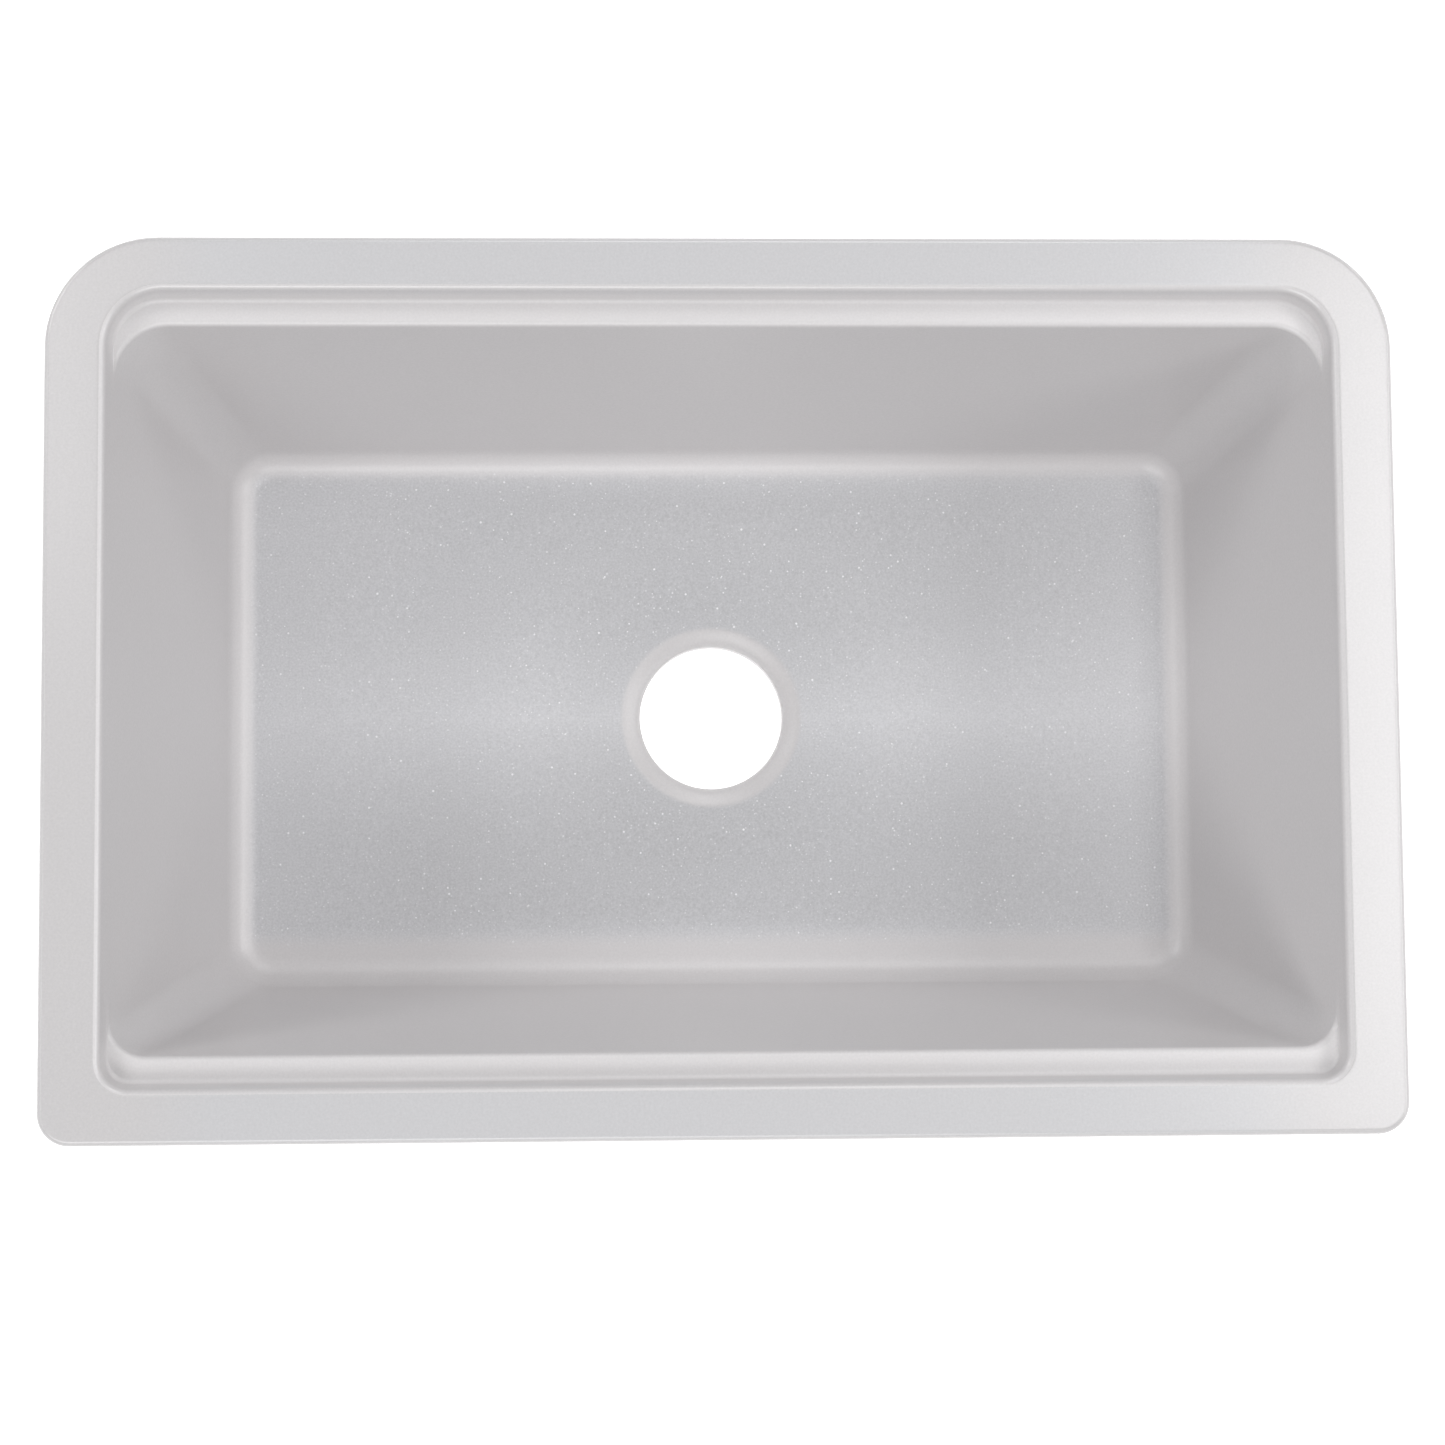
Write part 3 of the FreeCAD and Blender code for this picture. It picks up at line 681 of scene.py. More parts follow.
    def ledge_and_edge(self):
        """Ledges at the front and back that fade into plain walls at the sides, and the opening's edge."""
        sizes = self.sizes
        foot, edge = self.step_profile()
        ledge = self.nose_profile() + foot
        lowest, highest = ledge[0][1], ledge[-1][1]
        step_foot = grown(self.opening, -sizes.step_run)
        rings = []
        for index, (across, level) in enumerate(ledge):
            side_level = lowest + (highest - lowest) * index / (len(ledge) - 1)
            share = (across - sizes.step_run) / sizes.ledge_width
            radii = blended(step_foot, self.mouth, max(share, 0.0))
            outline = Outline(self.opening.side - self.side_lean * (self.top - side_level),
                              self.opening.front - across, self.opening.rear - across,
                              radii.front_corner, radii.rear_corner)
            rings.append(self.section(outline, Levels(level, side_level, level)))
        rings += [self.section(grown(self.opening, -across), level) for across, level in edge]
        return rings

    def rim_and_edge(self):
        """Rim top, its rounded outer edge and the upright edge below."""
        rounding = self.sizes.edge_rounding
        rings = [self.section(grown(self.rim, along - rounding), self.top - off)
                 for along, off in arc(rounding, QUARTER, ARC_STEPS)]
        return rings + [self.section(self.rim, self.underside)]

    def outside(self):
        """Underside of the rim, collar, outside of the bowl and base, back to the drain's lower edge."""
        sizes = self.sizes
        collar_side = self.opening.side - self.side_lean * (sizes.ledge_drop + sizes.ledge_thickness)
        collar_level = self.ledge - sizes.ledge_thickness
        collar = grown(self.opening, sizes.wall)
        collar = collar._replace(side=collar.side - self.side_lean * sizes.rim_thickness)
        collar_foot = grown(self.opening, sizes.wall - sizes.step_run)._replace(
            side=collar_side + sizes.wall)
        tub = grown(self.mouth, sizes.wall)._replace(side=collar_side + sizes.wall)
        tub_foot = grown(self.foot, sizes.wall)
        lean = (tub.side - tub_foot.side) / collar_level

        # At the sides the collar runs on into the bowl's wall, where its two rings are kept apart
        gap = 2 * MM
        rings = [self.section(grown(self.rim, -sizes.apron_thickness), self.underside),
                 self.section(collar, self.underside),
                 self.section(collar_foot._replace(side=collar_foot.side + lean * gap),
                              Levels(collar_level, collar_level + gap, collar_level)),
                 self.section(tub._replace(side=tub.side - lean * gap),
                              Levels(collar_level, collar_level - gap, collar_level))]
        for share in steps(WALL_STEPS)[1:-1]:
            level = collar_level + (sizes.base_rounding - collar_level) * share
            rings.append(self.section(blended(tub_foot, tub, level / collar_level), level))
        base = self.rounded(tub_foot, sizes.base_rounding, lean, 0.0, ARC_STEPS)
        rings += reversed(base)
        rings += [mixed(base[0], self.drain()[0], share) for share in steps(BASE_STEPS)[1:]]
        return rings

    def all(self):
        """Every ring, from the drain's lower edge round the whole wall and back to it."""
        return (self.drain() + self.floor_and_wall() + self.ledge_and_edge() + self.rim_and_edge()
                + self.outside())


# Shader maths

def operation(name, reflected=False):
    """A method of a wire that adds a Math node for one of Python's operators."""

    def method(self, other):
        pair = (other, self) if reflected else (self, other)
        return self.finish.math(name, *pair)

    return method


class Wire:
    """A socket that takes part in Python sums; each operation adds a node to its tree."""

    def __init__(self, finish, socket):
        self.finish = finish
        self.socket = socket

    __add__ = operation("ADD")
    __radd__ = operation("ADD", reflected=True)
    __sub__ = operation("SUBTRACT")
    __rsub__ = operation("SUBTRACT", reflected=True)
    __mul__ = operation("MULTIPLY")
    __rmul__ = operation("MULTIPLY", reflected=True)

    def __abs__(self):
        return self.finish.math("ABSOLUTE", self)


class Finish:
    """A material with one Principled shader, built from expressions on wires."""

    def __init__(self, name):
        self.material = bpy.data.materials.new(name)
        self.material.use_nodes = True
        self.tree = self.material.node_tree
        self.shader = next(node for node in self.tree.nodes if node.type == "BSDF_PRINCIPLED")

    def node(self, kind, settings=None, inputs=None, output=0):
        """Any node: its settings first, then the values or links of its sockets."""
        made = self.tree.nodes.new(kind)
        for name, setting in (settings or {}).items():
            setattr(made, name, setting)
        for name, given in (inputs or {}).items():
            self.feed(made.inputs[name], given)
        return Wire(self, made.outputs[output])

    def feed(self, socket, given):
        """Links a wire to a socket, or sets the socket's own value."""
        if isinstance(given, Wire):
            self.tree.links.new(given.socket, socket)
        else:
            socket.default_value = given

    def math(self, name, *given):
        """A Math node on one value or more."""
        return self.node("ShaderNodeMath", {"operation": name}, dict(enumerate(given)))

    def place(self):
        """Object coordinates."""
        return self.node("ShaderNodeTexCoord", output="Object")

    def stretched(self, place, scale):
        """Coordinates scaled along each axis."""
        return self.node("ShaderNodeMapping", {}, {"Vector": place, "Scale": scale})

    def axis(self, place, name):
        """One coordinate of a vector."""
        return self.node("ShaderNodeSeparateXYZ", {}, {"Vector": place}, name)

    def reach(self, place):
        """Distance from the upright axis through the origin."""
        level = self.stretched(place, (1.0, 1.0, 0.0))
        return self.node("ShaderNodeVectorMath", {"operation": "LENGTH"}, {0: level}, "Value")

    def least(self, first, second):
        """The smaller of two values."""
        return self.math("MINIMUM", first, second)

    def falloff(self, given, reach):
        """1 at nothing, falling away over a reach, with a crease at its top."""
        return self.math("EXPONENT", given * (-1 / reach))

    def ramp(self, given, low, high):
        """A soft rise from 0 at one value to 1 at another, above or below it."""
        return self.node("ShaderNodeMapRange", {"interpolation_type": "SMOOTHSTEP"},
                         {"Value": given, "From Min": low, "From Max": high})

    def fade(self, distance, start, full):
        """The same for a distance, between two values in millimetres."""
        return self.ramp(distance, start * MM, full * MM)

    def noise(self, place, grain, detail=2.0, roughness=0.55):
        """Cloudy noise with grains of the given size."""
        return self.node("ShaderNodeTexNoise", {}, {"Vector": place, "Scale": 1 / grain, "Detail": detail,
                                                    "Roughness": roughness}, "Fac")

    def grains(self, place, grain):
        """Round grains, one in each cell of their spacing, that differ in size and brightness."""
        spots = {"Vector": place, "Scale": 1 / grain.spacing, "Randomness": 1.0}
        reach = self.node("ShaderNodeTexVoronoi", {}, spots, "Distance")
        shade = self.node("ShaderNodeTexVoronoi", {}, spots, "Color")
        chance = self.node("ShaderNodeSeparateColor", {}, {"Color": shade}, "Red")
        bright = self.node("ShaderNodeSeparateColor", {}, {"Color": shade}, "Green")
        radius = grain.smallest / grain.spacing + (grain.largest - grain.smallest) / grain.spacing * chance
        return self.ramp(radius - reach, 0.0, GRAIN_EDGE / grain.spacing) * bright

    def mix(self, first, second, share):
        """A colour between two colours."""
        return self.node("ShaderNodeMix", {"data_type": "RGBA"}, {0: share, 6: first, 7: second}, 2)

    def shaded(self, colour, share):
        """A colour made darker by a share below 1, or lighter by one above it."""
        return self.node("ShaderNodeMix", {"data_type": "RGBA", "clamp_factor": False},
                         {0: share, 6: (0.0, 0.0, 0.0, 1.0), 7: colour}, 2)

    def bump(self, height, distance, strength):
        """A normal bent by a height."""
        return self.node("ShaderNodeBump", {}, {"Height": height, "Distance": distance,
                                                "Strength": strength}, "Normal")

    def set(self, **inputs):
        """Feeds the shader; spaces in the names of its sockets are written as underscores."""
        for name, given in inputs.items():
            self.feed(self.shader.inputs[name.replace("_", " ")], given)
        return self.material

    def clear_from_behind(self):
        """Makes the material clear where its face is seen from behind."""
        behind = self.node("ShaderNodeNewGeometry", output="Backfacing")
        front = Wire(self, self.shader.outputs[0])
        clear = self.node("ShaderNodeBsdfTransparent")
        surface = self.node("ShaderNodeMixShader", {}, {0: behind, 1: front, 2: clear})
        ending = next(node for node in self.tree.nodes if node.type == "OUTPUT_MATERIAL")
        self.feed(ending.inputs["Surface"], surface)


def rgba(colour):
    """A colour with full alpha."""
    return (*colour, 1.0)


class CompositeZones:
    """Masks on the moulding, 1 in a zone and 0 outside it, that fade over a few millimetres."""

    def __init__(self, finish, sizes):
        fade = finish.fade
        self.place = finish.place()
        across = abs(finish.axis(self.place, "X"))
        depth = finish.axis(self.place, "Y")
        self.along = abs(depth)
        height = finish.axis(self.place, "Z")
        half_width, half_length = 0.5 * sizes.floor_width, 0.5 * sizes.floor_length

        # Distances inwards from the feet of the walls and from the rim's outer edge, outwards from the
        # recess, up from floor and ledge, and down from the rim's top
        from_side, from_long = half_width - across, half_length - self.along
        from_front, from_rear = half_length + depth, half_length - depth
        from_rim = finish.least(SINK_HIGH.x - across, SINK_HIGH.y - self.along)
        from_drain = finish.reach(self.place) - 0.5 * sizes.recess_diameter
        over_floor = height - sizes.floor_level
        over_ledge = height - (SINK_HIGH.z - sizes.ledge_drop)
        under_top = SINK_HIGH.z - height

        # Floor and coves. The ends, pan, front-edge, cove, round-drain and recess masks place only painted
        # light and painted shade; the floor mask places more grain and the painted cool skylight
        self.ends = finish.ramp(across, 40 * MM, half_width)
        basin = fade(from_side, -3, 0) * fade(from_long, -3, 0)
        bottom = fade(over_floor, 4, 0) * fade(height, 3, 7)
        past_recess = fade(from_drain, -3, 1)
        low = bottom * past_recess
        from_ends = finish.least(from_rear, from_front - 15 * MM)
        self.floor = low * fade(from_side, 6, 16) * fade(from_ends, 4, 18)
        self.pan = low * fade(from_side, 5, 22) * fade(from_ends, 5, 32)
        self.front_edge = basin * low * fade(from_front, 36, 22)
        self.cove = (basin * fade(over_floor, -0.3, 1) * fade(over_floor, 14, 4)
                     * (1.0 - fade(from_front, 30, 8)))
        self.round_drain = low * fade(from_drain, 70, 0)
        self.recess = bottom * (1.0 - past_recess)

        # Ledges, steps and rim. The ledge, lip and rear-step masks place painted highlights, the rim mask
        # painted shade and the rim's gloss, the rim-top mask the rim's gloss, and the long rims the painted
        # cool skylight
        self.ledge = (fade(abs(over_ledge), 3, 1) * fade(from_long, 0, -30)
                      * fade(SINK_HIGH.y - self.along, 26, 29))
        self.rim = fade(under_top, 10, 2) * fade(from_rim, 0.5, 3)
        self.rim_top = fade(under_top, 0.25, 0.02)
        self.lip = fade(under_top, 4, 1.2) * (1.0 - self.rim_top) * fade(from_rim, 14, 20)
        self.rear_step = (fade(over_ledge, 0.3, 2) * fade(over_ledge, 11, 5) * fade(from_rear, -5, -35)
                          * fade(SINK_HIGH.y - depth, 14, 20))
        self.skylit_long_rims = (self.rim * fade(from_long, -50, -62) * fade(from_side, -40, 20)
                          * (1.0 - self.lip))


def composite_finish(look, sizes):
    """Granite composite: satin body, fine grain, scattered bright flecks and dark grit, more coarsely grained
    on the floor than on the walls. The floor and the front and rear rims are tinted cooler as painted cool
    skylight. The colour carries painted highlights on the coves, ledges and edges, painted shade on the rim,
    round the drain and in the recess, and painted light and shade on the floor's pan."""
    finish = Finish("moulded_composite")
    zones = CompositeZones(finish, sizes)
    clouds = finish.noise(zones.place, 60 * MM)
    mottle = finish.noise(zones.place, 7 * MM)
    fine = finish.noise(zones.place, 1.4 * MM, roughness=0.6)

    def scattered(grain):
        return finish.grains(zones.place, grain) * (grain.share + grain.floor_share * zones.floor)

    # Painted light and shade on the floor's pan: darker overall, lighter at its ends, a painted highlight
    # streak through the drain
    ends = PAN_ENDS_PAINTED_LIGHT * zones.ends
    pan_painted_light = ends + finish.falloff(zones.along, PAINTED_STREAK_REACH) * (PAN_PAINTED_STREAK - ends) + PAN_PAINTED_SHADE
    light = BODY_LIGHT + pan_painted_light * zones.pan
    # Each zone adds its painted highlight or painted shade
    for zone, share in PAINTED_ZONE_LIGHT.items():
        light = light + share * getattr(zones, zone)
    light = light + (mottle - 0.5) * (0.06 * zones.floor) + (fine - 0.5) * (0.15 + 0.25 * zones.floor)
    # A cooler tint on the floor and the front and rear rims is painted cool skylight; the clouds add a random
    # cooler tone
    cool = 0.8 * zones.floor + 0.2 * clouds + 0.55 * zones.skylit_long_rims
    body = finish.shaded(finish.mix(rgba(look.composite), rgba(look.composite_skylit_cool), cool), light)
    shade = finish.mix(body, rgba(look.grit), scattered(GRIT))
    shade = finish.mix(shade, rgba(look.fleck), scattered(FLECKS) + scattered(SPARKS))
    rough = 0.36 - 0.1 * zones.rim - 0.05 * zones.rim_top + 0.03 * clouds + 0.03 * fine
    return finish.set(Base_Color=shade, Roughness=rough, Specular_IOR_Level=1.0,
                      Normal=finish.bump(fine, distance=0.03 * MM, strength=0.2))


def zinc_finish(name, look, brushed):
    """Zinc plating on steel, brushed along one axis, with a faint warm tint."""
    finish = Finish(name)
    place = finish.place()
    strokes = finish.noise(finish.stretched(place, brushed), 0.35 * MM)
    cloud = finish.noise(place, 9 * MM, detail=4.0)
    blots = finish.ramp(finish.noise(place, 2.5 * MM, detail=3.0), 0.55, 0.75)
    warm = finish.ramp(cloud, 0.4, 0.75) * 0.6 + blots * 0.15
    shade = finish.mix(rgba(look.zinc), rgba(look.zinc_warm), warm)
    rough = 0.26 + 0.16 * strokes + 0.1 * blots
    return finish.set(Base_Color=shade, Metallic=1.0, Roughness=rough,
                      Normal=finish.bump(strokes, distance=0.02 * MM, strength=0.3))


def brass_finish(look):
    """Turned brass, tarnished in patches."""
    finish = Finish("turned_brass")
    place = finish.place()
    rings = finish.noise(finish.stretched(place, (0.05, 0.05, 1.0)), 0.12 * MM)
    tarnish = finish.ramp(finish.noise(place, 2.2 * MM, detail=4.0), 0.45, 0.7)
    shade = finish.mix(rgba(look.brass), rgba(look.brass_dark), tarnish * 0.5)
    return finish.set(Base_Color=shade, Metallic=1.0, Roughness=0.24 + 0.2 * rings + 0.12 * tarnish,
                      Normal=finish.bump(rings, distance=0.02 * MM, strength=0.3))


class SINK_OT_moulding(bpy.types.Operator):
    """Model the composite moulding: bowl, ledges, rim, apron, ribs and bosses"""

    bl_idname = "apron_sink.moulding"
    bl_label = "Moulding"

    def execute(self, context):
        sizes = context.scene.sink_moulding
        hardware = context.scene.sink_hardware
        rings = MouldingRings(sizes)
        piece = draw_out("composite_moulding", rings.all(), closed=True)
        self.turn_down_apron(piece, rings)
        self.soften_rim(piece, rings)
        combine(piece, self.ribs_and_bosses(rings), "UNION")
        width = hardware.insert_diameter + 2 * hardware.bond_gap
        low = rings.underside - sizes.boss_height - MM
        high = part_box("threaded_inserts")[1].z + hardware.bond_gap
        holes = [rod(width, low, high, spot.pivot.x, spot.pivot.y) for spot in stations()]
        combine(piece, join(holes, "insert_holes"), "DIFFERENCE")
        smooth(piece, crisp_degrees=35)
        dress(piece, composite_finish(context.scene.sink_finish, sizes), "sink", "composite", "sink_body")
        return {"FINISHED"}

    def turn_down_apron(self, piece, rings):
        """Extrudes the front strip of the rim's underside down to the apron's foot and rounds its edges."""
        sizes = rings.sizes
        inner_side = rings.rim.side - sizes.apron_thickness - NEAR
        inner_front = rings.rim.front - sizes.apron_thickness - NEAR
        inner_corner = sizes.front_corner - sizes.apron_thickness - NEAR

        def in_corner(place):
            across = abs(place.x) - rings.rim.side + sizes.front_corner
            along = -place.y - rings.rim.front + sizes.front_corner
            return min(across, along) > -NEAR and math.hypot(across, along) > inner_corner

        def in_strip(place):
            level = abs(place.z - rings.underside) < NEAR
            outer = abs(place.x) > inner_side or -place.y > inner_front or in_corner(place)
            return level and outer and place.y < rings.return_end + NEAR

        def at_foot(place):
            return abs(place.z - sizes.apron_foot) < NEAR

        def at_return(place):
            below_rim = place.z < rings.underside + NEAR
            return abs(place.y - rings.return_end) < NEAR and below_rim and abs(place.x) > inner_side

        def crisp(edge):
            if len(edge.link_faces) != 2 or edge.calc_face_angle(0.0) < CRISP_TURN:
                return False
            return all_at(edge, at_foot) or all_at(edge, at_return)

        with editing(piece):
            pick(piece, "faces", lambda face: all_at(face, in_strip))
            drop = sizes.apron_foot - rings.underside
            bpy.ops.mesh.extrude_region_move(TRANSFORM_OT_translate={"value": (0.0, 0.0, drop)})
            pick(piece, "edges", crisp)
            bpy.ops.mesh.bevel(offset=sizes.apron_rounding, segments=ARC_STEPS - 1, affect="EDGES")

    def soften_rim(self, piece, rings):
        """Rounds the rim's lower edge at the sides and back."""
        sizes = rings.sizes

        def behind_apron(place):
            level = abs(place.z - rings.underside) < NEAR
            return level and place.y > rings.return_end + sizes.apron_rounding

        with editing(piece):
            pick(piece, "edges", lambda edge: all_at(edge, behind_apron)
                 and edge.calc_face_angle(0.0) > RIGHT_TURN)
            bpy.ops.mesh.bevel(offset=sizes.lower_rounding, segments=3, affect="EDGES")

    def ribs_and_bosses(self, rings):
        """Ribs between apron and bowl, and a boss for each clip."""
        sizes = rings.sizes
        parts = []
        apron_middle = 0.5 * sizes.apron_thickness - rings.rim.front
        wall_middle = 0.5 * sizes.wall
        tall = rings.underside + OVERLAP - sizes.rib_foot
        for place in (-sizes.rib_spacing, 0.0, sizes.rib_spacing):
            rib = block("rib", (place, apron_middle, sizes.rib_foot + 0.5 * tall),
                        (sizes.rib_thickness, wall_middle, tall))
            with editing(rib), edit_mesh(rib) as shape:
                for vert in shape.verts:
                    if vert.co.y > apron_middle:
                        rise = vert.co.z - sizes.floor_level
                        vert.co.y = -(rings.foot.front + rings.long_lean * rise + wall_middle)
            parts.append(rib)
        low = rings.underside - sizes.boss_height
        high = rings.underside + 0.2 * sizes.rim_thickness
        parts += [rod(sizes.boss_diameter, low, high, spot.pivot.x, spot.pivot.y) for spot in stations()]
        return join(parts, "ribs_and_bosses")


class SINK_OT_clips(bpy.types.Operator):
    """Model one pressed clip and copy it to its eight stations"""

    bl_idname = "apron_sink.clips"
    bl_label = "Clips"

    def execute(self, context):
        sizes = context.scene.sink_hardware
        finish = zinc_finish("plated_sheet", context.scene.sink_finish, (0.25, 1.0, 1.0))
        pattern = self.pressed_strip(sizes)
        for station in stations():
            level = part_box(station.name)[0].z + sizes.clip_thickness
            clip = copied(pattern, f"pressed_{station.name}", at_station(station, level))
            dress(clip, finish, station.name, "clip_steel", station.name)
        bpy.data.objects.remove(pattern)
        return {"FINISHED"}

    def pressed_strip(self, sizes):
        """A joggled strip with its pivot hole at the origin, along +X."""
        tail = sizes.clip_width / 2
        tip = sizes.clip_reach + tail
        thick = sizes.clip_thickness
        strip = block("clip_pattern", (0.5 * (tip - tail), 0.0, -0.5 * thick),
                      (tip + tail, sizes.clip_width, thick))
        with editing(strip):
            self.bend(strip, sizes)
            pick(strip, "edges", lambda edge: abs(edge.verts[0].co.z - edge.verts[1].co.z) > 0.9 * thick
                 and (edge.verts[0].co.x < NEAR - tail or edge.verts[0].co.x > tip - NEAR))
            bpy.ops.mesh.bevel(offset=sizes.clip_corner, segments=8, affect="EDGES")
        holes = [rod(sizes.pivot_hole, -2 * thick, thick),
                 rod(sizes.stud_hole, 0.0, sizes.bend_rise + thick, sizes.clip_reach)]
        combine(strip, join(holes, "clip_holes"), "DIFFERENCE")
        apply_modifier(strip, "BEVEL", width=sizes.edge_break, segments=2, limit_method="ANGLE",
                       angle_limit=math.radians(50), loop_slide=False)
        smooth(strip, crisp_degrees=30)
        return strip

    def bend(self, strip, sizes):
        """Joggles the strip, in edit mode, and rounds its two bends on both faces."""
        thick = sizes.clip_thickness
        bend_start, bend_end = sizes.bend_start, sizes.bend_start + sizes.bend_run
        slant = math.hypot(sizes.bend_run, sizes.bend_rise)
        mitre = thick * (slant - sizes.bend_run) / sizes.bend_rise
        angle = math.atan2(sizes.bend_rise, sizes.bend_run)
        for place in (bend_start, bend_end):
            bpy.ops.mesh.select_all(action="SELECT")
            bpy.ops.mesh.bisect(plane_co=(place, 0.0, 0.0), plane_no=(1.0, 0.0, 0.0))
        pick(strip, "verts", lambda vert: bend_start - NEAR < vert.co.x < bend_end + NEAR
             and vert.co.z < -0.5 * thick)
        bpy.ops.transform.translate(value=(mitre, 0.0, 0.0))
        pick(strip, "verts", lambda vert: vert.co.x > bend_end - NEAR)
        bpy.ops.transform.translate(value=(0.0, 0.0, sizes.bend_rise))

        def on_lines(edge, lines):
            level = abs(edge.verts[0].co.x - edge.verts[1].co.x) < NEAR
            return level and all_at(edge, lambda place: any(
                abs(place.x - across) < NEAR and abs(place.z - height) < NEAR for across, height in lines))

        inside = ((bend_start, 0.0), (bend_end + mitre, sizes.bend_rise - thick))
        outside = ((bend_start + mitre, -thick), (bend_end, sizes.bend_rise))
        for lines, radius in ((inside, sizes.bend_radius), (outside, sizes.bend_radius + thick)):
            pick(strip, "edges", lambda edge: on_lines(edge, lines))
            bpy.ops.mesh.bevel(offset=setback(radius, angle), segments=4, affect="EDGES")


class SINK_OT_screws(bpy.types.Operator):
    """Turn one shoulder screw and copy it to the eight clips"""

    bl_idname = "apron_sink.screws"
    bl_label = "Screws"

    def execute(self, context):
        sizes = context.scene.sink_hardware
        finish = zinc_finish("plated_screw", context.scene.sink_finish, (1.0, 1.0, 0.3))
        low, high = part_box("clip_screws")
        tall = high.z - low.z
        rings = self.head(sizes) + self.shank(sizes, tall)
        pattern = draw_out("screw_pattern", rings, closed=False)
        smooth(pattern, crisp_degrees=40)
        set_fasteners("shoulder_screw", pattern, low.z, finish, "screw_steel", "clip_screws")
        return {"FINISHED"}

    def head(self, sizes):
        """Socket and head with a knurled side, from the socket's floor round to the head's upper face."""
        edge = sizes.head_edge
        radius, tall = sizes.head_diameter / 2, sizes.head_height
        return [hexagon(sizes.socket_across, sizes.socket_depth),
                hexagon(sizes.socket_across, edge),
                turned(SOCKET_MOUTH * sizes.socket_across, 0.0),
                turned(radius - 2 * edge, 0.0),
                turned(radius - 0.5 * edge, 0.5 * edge),
                fluted(radius, sizes.head_flute, 2 * edge),
                fluted(radius, sizes.head_flute, tall - 2 * edge),
                turned(radius - 0.5 * edge, tall - 0.3 * edge),
                turned(radius - edge, tall)]

    def shank(self, sizes, tall):
        """Shoulder, relief and thread, from the head up to the tip."""
        edge, pitch = sizes.shoulder_edge, sizes.thread_pitch
        shoulder = sizes.shoulder_diameter / 2
        crest = sizes.thread_diameter / 2
        root = crest - THREAD_DEPTH * pitch
        start = tall - sizes.thread_length
        rings = [turned(shoulder, sizes.head_height), turned(shoulder, start - edge),
                 turned(shoulder - edge, start), turned(root, start)]
        for turn in range(int(sizes.thread_length / pitch) - 1):
            level = start + (turn + THREAD_START) * pitch
            ridge = level + THREAD_RISE * pitch
            rings += [turned(root, level), turned(crest, ridge), turned(crest, ridge + THREAD_CREST * pitch)]
        return rings + [turned(root, tall - sizes.thread_point), turned(root - 0.5 * pitch, tall)]


class SINK_OT_washers(bpy.types.Operator):
    """Turn one washer and copy it to the eight screws"""

    bl_idname = "apron_sink.washers"
    bl_label = "Washers"

    def execute(self, context):
        sizes = context.scene.sink_hardware
        finish = zinc_finish("plated_washer", context.scene.sink_finish, (1.0, 0.3, 1.0))
        low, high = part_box("clip_washers")
        thick = high.z - low.z
        inner, outer = sizes.pivot_hole / 2, sizes.washer_diameter / 2
        soft = 0.2 * thick
        profile = [(inner, soft), (inner + soft, 0.0), (outer - soft, 0.0), (outer, soft),
                   (outer, thick - soft), (outer - soft, thick), (inner + soft, thick), (inner, thick - soft)]
        rings = [turned(reach, level) for reach, level in profile + profile[:1]]
        pattern = draw_out("washer_pattern", rings, closed=True)
        smooth(pattern, crisp_degrees=50)
        set_fasteners("washer", pattern, low.z, finish, "screw_steel", "clip_washers")
        return {"FINISHED"}


class SINK_OT_inserts(bpy.types.Operator):
    """Turn one knurled insert and copy it to the eight bosses"""

    bl_idname = "apron_sink.inserts"
    bl_label = "Inserts"

    def execute(self, context):
        sizes = context.scene.sink_hardware
        finish = brass_finish(context.scene.sink_finish)
        low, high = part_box("threaded_inserts")
        tall = high.z - low.z
        bore, outer = sizes.insert_bore / 2, sizes.insert_diameter / 2
        soft, flute = sizes.insert_edge, sizes.insert_flute
        neck = outer - sizes.insert_groove
        groove_start, groove_end, slant = 0.4 * tall, 0.6 * tall, 0.05 * tall
        rings = [turned(bore, soft), turned(bore + soft, 0.0), turned(outer - soft, 0.0),
                 fluted(outer, flute, soft), fluted(outer, flute, groove_start),
                 turned(neck, groove_start + slant), turned(neck, groove_end - slant),
                 fluted(outer, flute, groove_end), fluted(outer, flute, tall - soft),
                 turned(outer - soft, tall), turned(bore + soft, tall), turned(bore, tall - soft)]
        pattern = draw_out("insert_pattern", rings + rings[:1], closed=True)
        smooth(pattern, crisp_degrees=40)
        set_fasteners("insert", pattern, low.z, finish, "brass", "threaded_inserts")
        return {"FINISHED"}


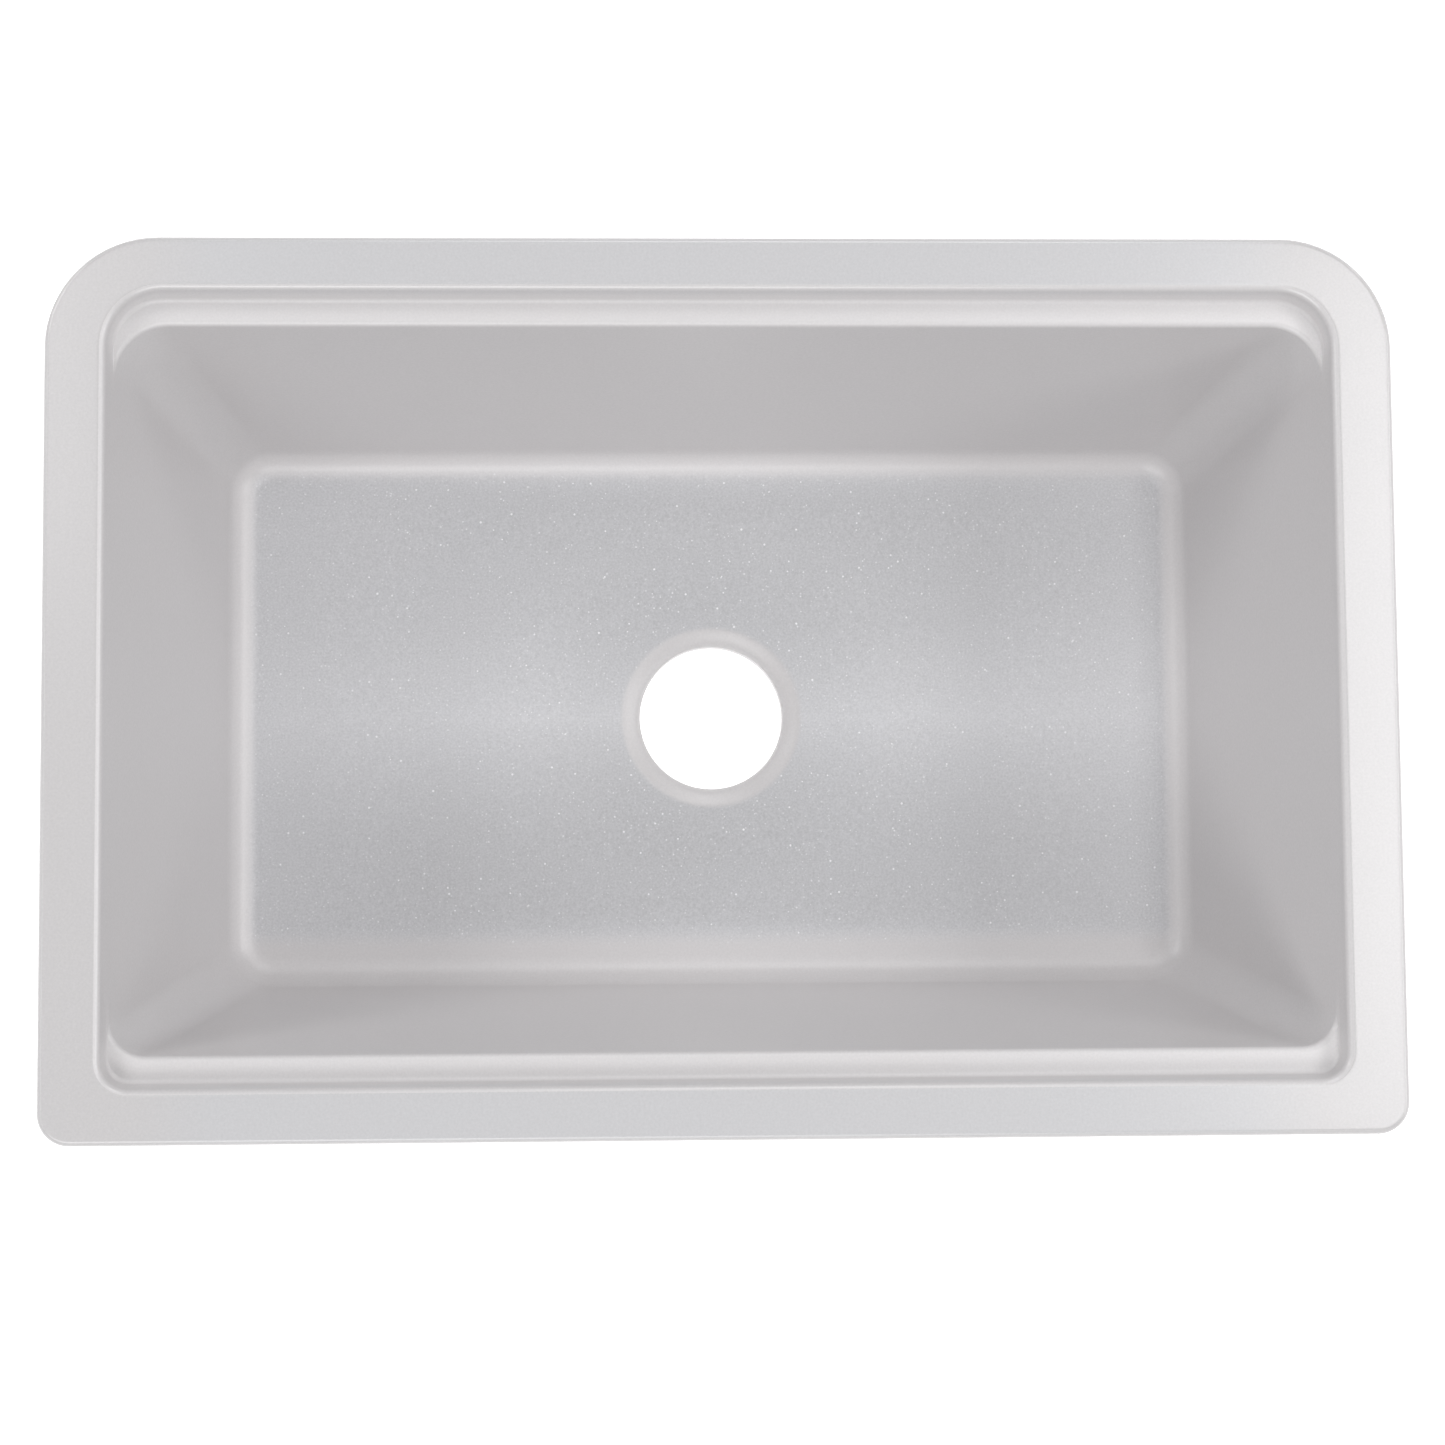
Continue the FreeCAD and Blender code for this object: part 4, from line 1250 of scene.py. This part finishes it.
class SINK_OT_stage(bpy.types.Operator):
    """Set the white floor, the studio lamps and the camera"""

    bl_idname = "apron_sink.stage"
    bl_label = "Stage"

    def execute(self, context):
        look = context.scene.sink_stage
        scene = context.scene
        scene.view_settings.view_transform = "Standard"
        self.white_floor(look)
        world = bpy.data.worlds.new("soft_sky")
        world.use_nodes = True
        sky = next(node for node in world.node_tree.nodes if node.type == "BACKGROUND")
        sky.inputs["Color"].default_value = SKY_COLOUR
        sky.inputs["Strength"].default_value = look.sky
        scene.world = world
        for name, (place, size) in SOFTBOXES.items():
            self.softbox(name, place, SINK_MIDDLE, size, getattr(look, name))
        for name, (place, size) in PANELS.items():
            below = Vector((place[0], place[1], 0.0))
            self.softbox(name, place, below, size, getattr(look, name))
        self.camera(scene)
        return {"FINISHED"}

    def white_floor(self, look):
        """A white studio floor that glows a little, so that it stays white under the sink. From below it
        is clear, so that the clips can be looked at."""
        floor = added(bpy.ops.mesh.primitive_grid_add, "studio_floor", x_subdivisions=FLOOR_CELLS,
                      y_subdivisions=FLOOR_CELLS, size=FLOOR_SIZE,
                      location=(FLOOR_SHIFT, 0.0, CAD_LOW.z - FLOOR_GAP))
        finish = Finish("white_floor")
        finish.set(Base_Color=FLOOR_WHITE, Roughness=0.9, Emission_Color=GLOW_WHITE,
                   Emission_Strength=look.floor_glow)
        finish.clear_from_behind()
        floor.data.materials.append(finish.material)

    def softbox(self, name, place, target, size, watts):
        """A rectangular lamp that faces a target."""
        lamp = added(bpy.ops.object.light_add, name, type="AREA", location=place)
        lamp.rotation_euler = (target - Vector(place)).to_track_quat("-Z", "Y").to_euler()
        lamp.data.shape = "RECTANGLE"
        lamp.data.size, lamp.data.size_y = size
        lamp.data.energy = watts
        lamp.visible_camera = False

    def camera(self, scene):
        """The camera, at the photograph's viewpoint."""
        turn = [math.radians(angle) for angle in CAMERA_DEGREES]
        camera = added(bpy.ops.object.camera_add, "Camera", location=CAMERA_PLACE, rotation=turn)
        camera.data.sensor_width = CAMERA_SENSOR
        camera.data.lens = CAMERA_LENS
        scene.camera = camera


class SINK_PT_sidebar(bpy.types.Panel):
    """Sizes, finishes and the steps that build the sink"""

    bl_label = "Workstation Apron Sink"
    bl_idname = "SINK_PT_sidebar"
    bl_space_type = "VIEW_3D"
    bl_region_type = "UI"
    bl_category = "Sink"

    def draw(self, context):
        for operator in OPERATORS:
            self.layout.operator(operator.bl_idname)
        for name in GROUPS:
            column = self.layout.column()
            column.label(text=name.replace("_", " ").capitalize())
            group = getattr(context.scene, name)
            for key in group.bl_rna.properties.keys():
                if key not in ("rna_type", "name"):
                    column.prop(group, key)


GROUPS = {"sink_moulding": MouldingSizes, "sink_hardware": HardwareSizes, "sink_finish": FinishLook,
          "sink_stage": StageLook}
OPERATORS = (SINK_OT_moulding, SINK_OT_clips, SINK_OT_screws, SINK_OT_washers, SINK_OT_inserts,
             SINK_OT_stage)
CLASSES = (*GROUPS.values(), *OPERATORS, SINK_PT_sidebar)


def register():
    for kind in CLASSES:
        bpy.utils.register_class(kind)
    for name, group in GROUPS.items():
        setattr(bpy.types.Scene, name, PointerProperty(type=group))


def unregister():
    for name in GROUPS:
        delattr(bpy.types.Scene, name)
    for kind in reversed(CLASSES):
        bpy.utils.unregister_class(kind)


def main():
    """Builds every piece and the stage."""
    register()
    bpy.ops.apron_sink.moulding()
    bpy.ops.apron_sink.clips()
    bpy.ops.apron_sink.screws()
    bpy.ops.apron_sink.washers()
    bpy.ops.apron_sink.inserts()
    bpy.ops.apron_sink.stage()


if __name__ == "__main__":
    main()
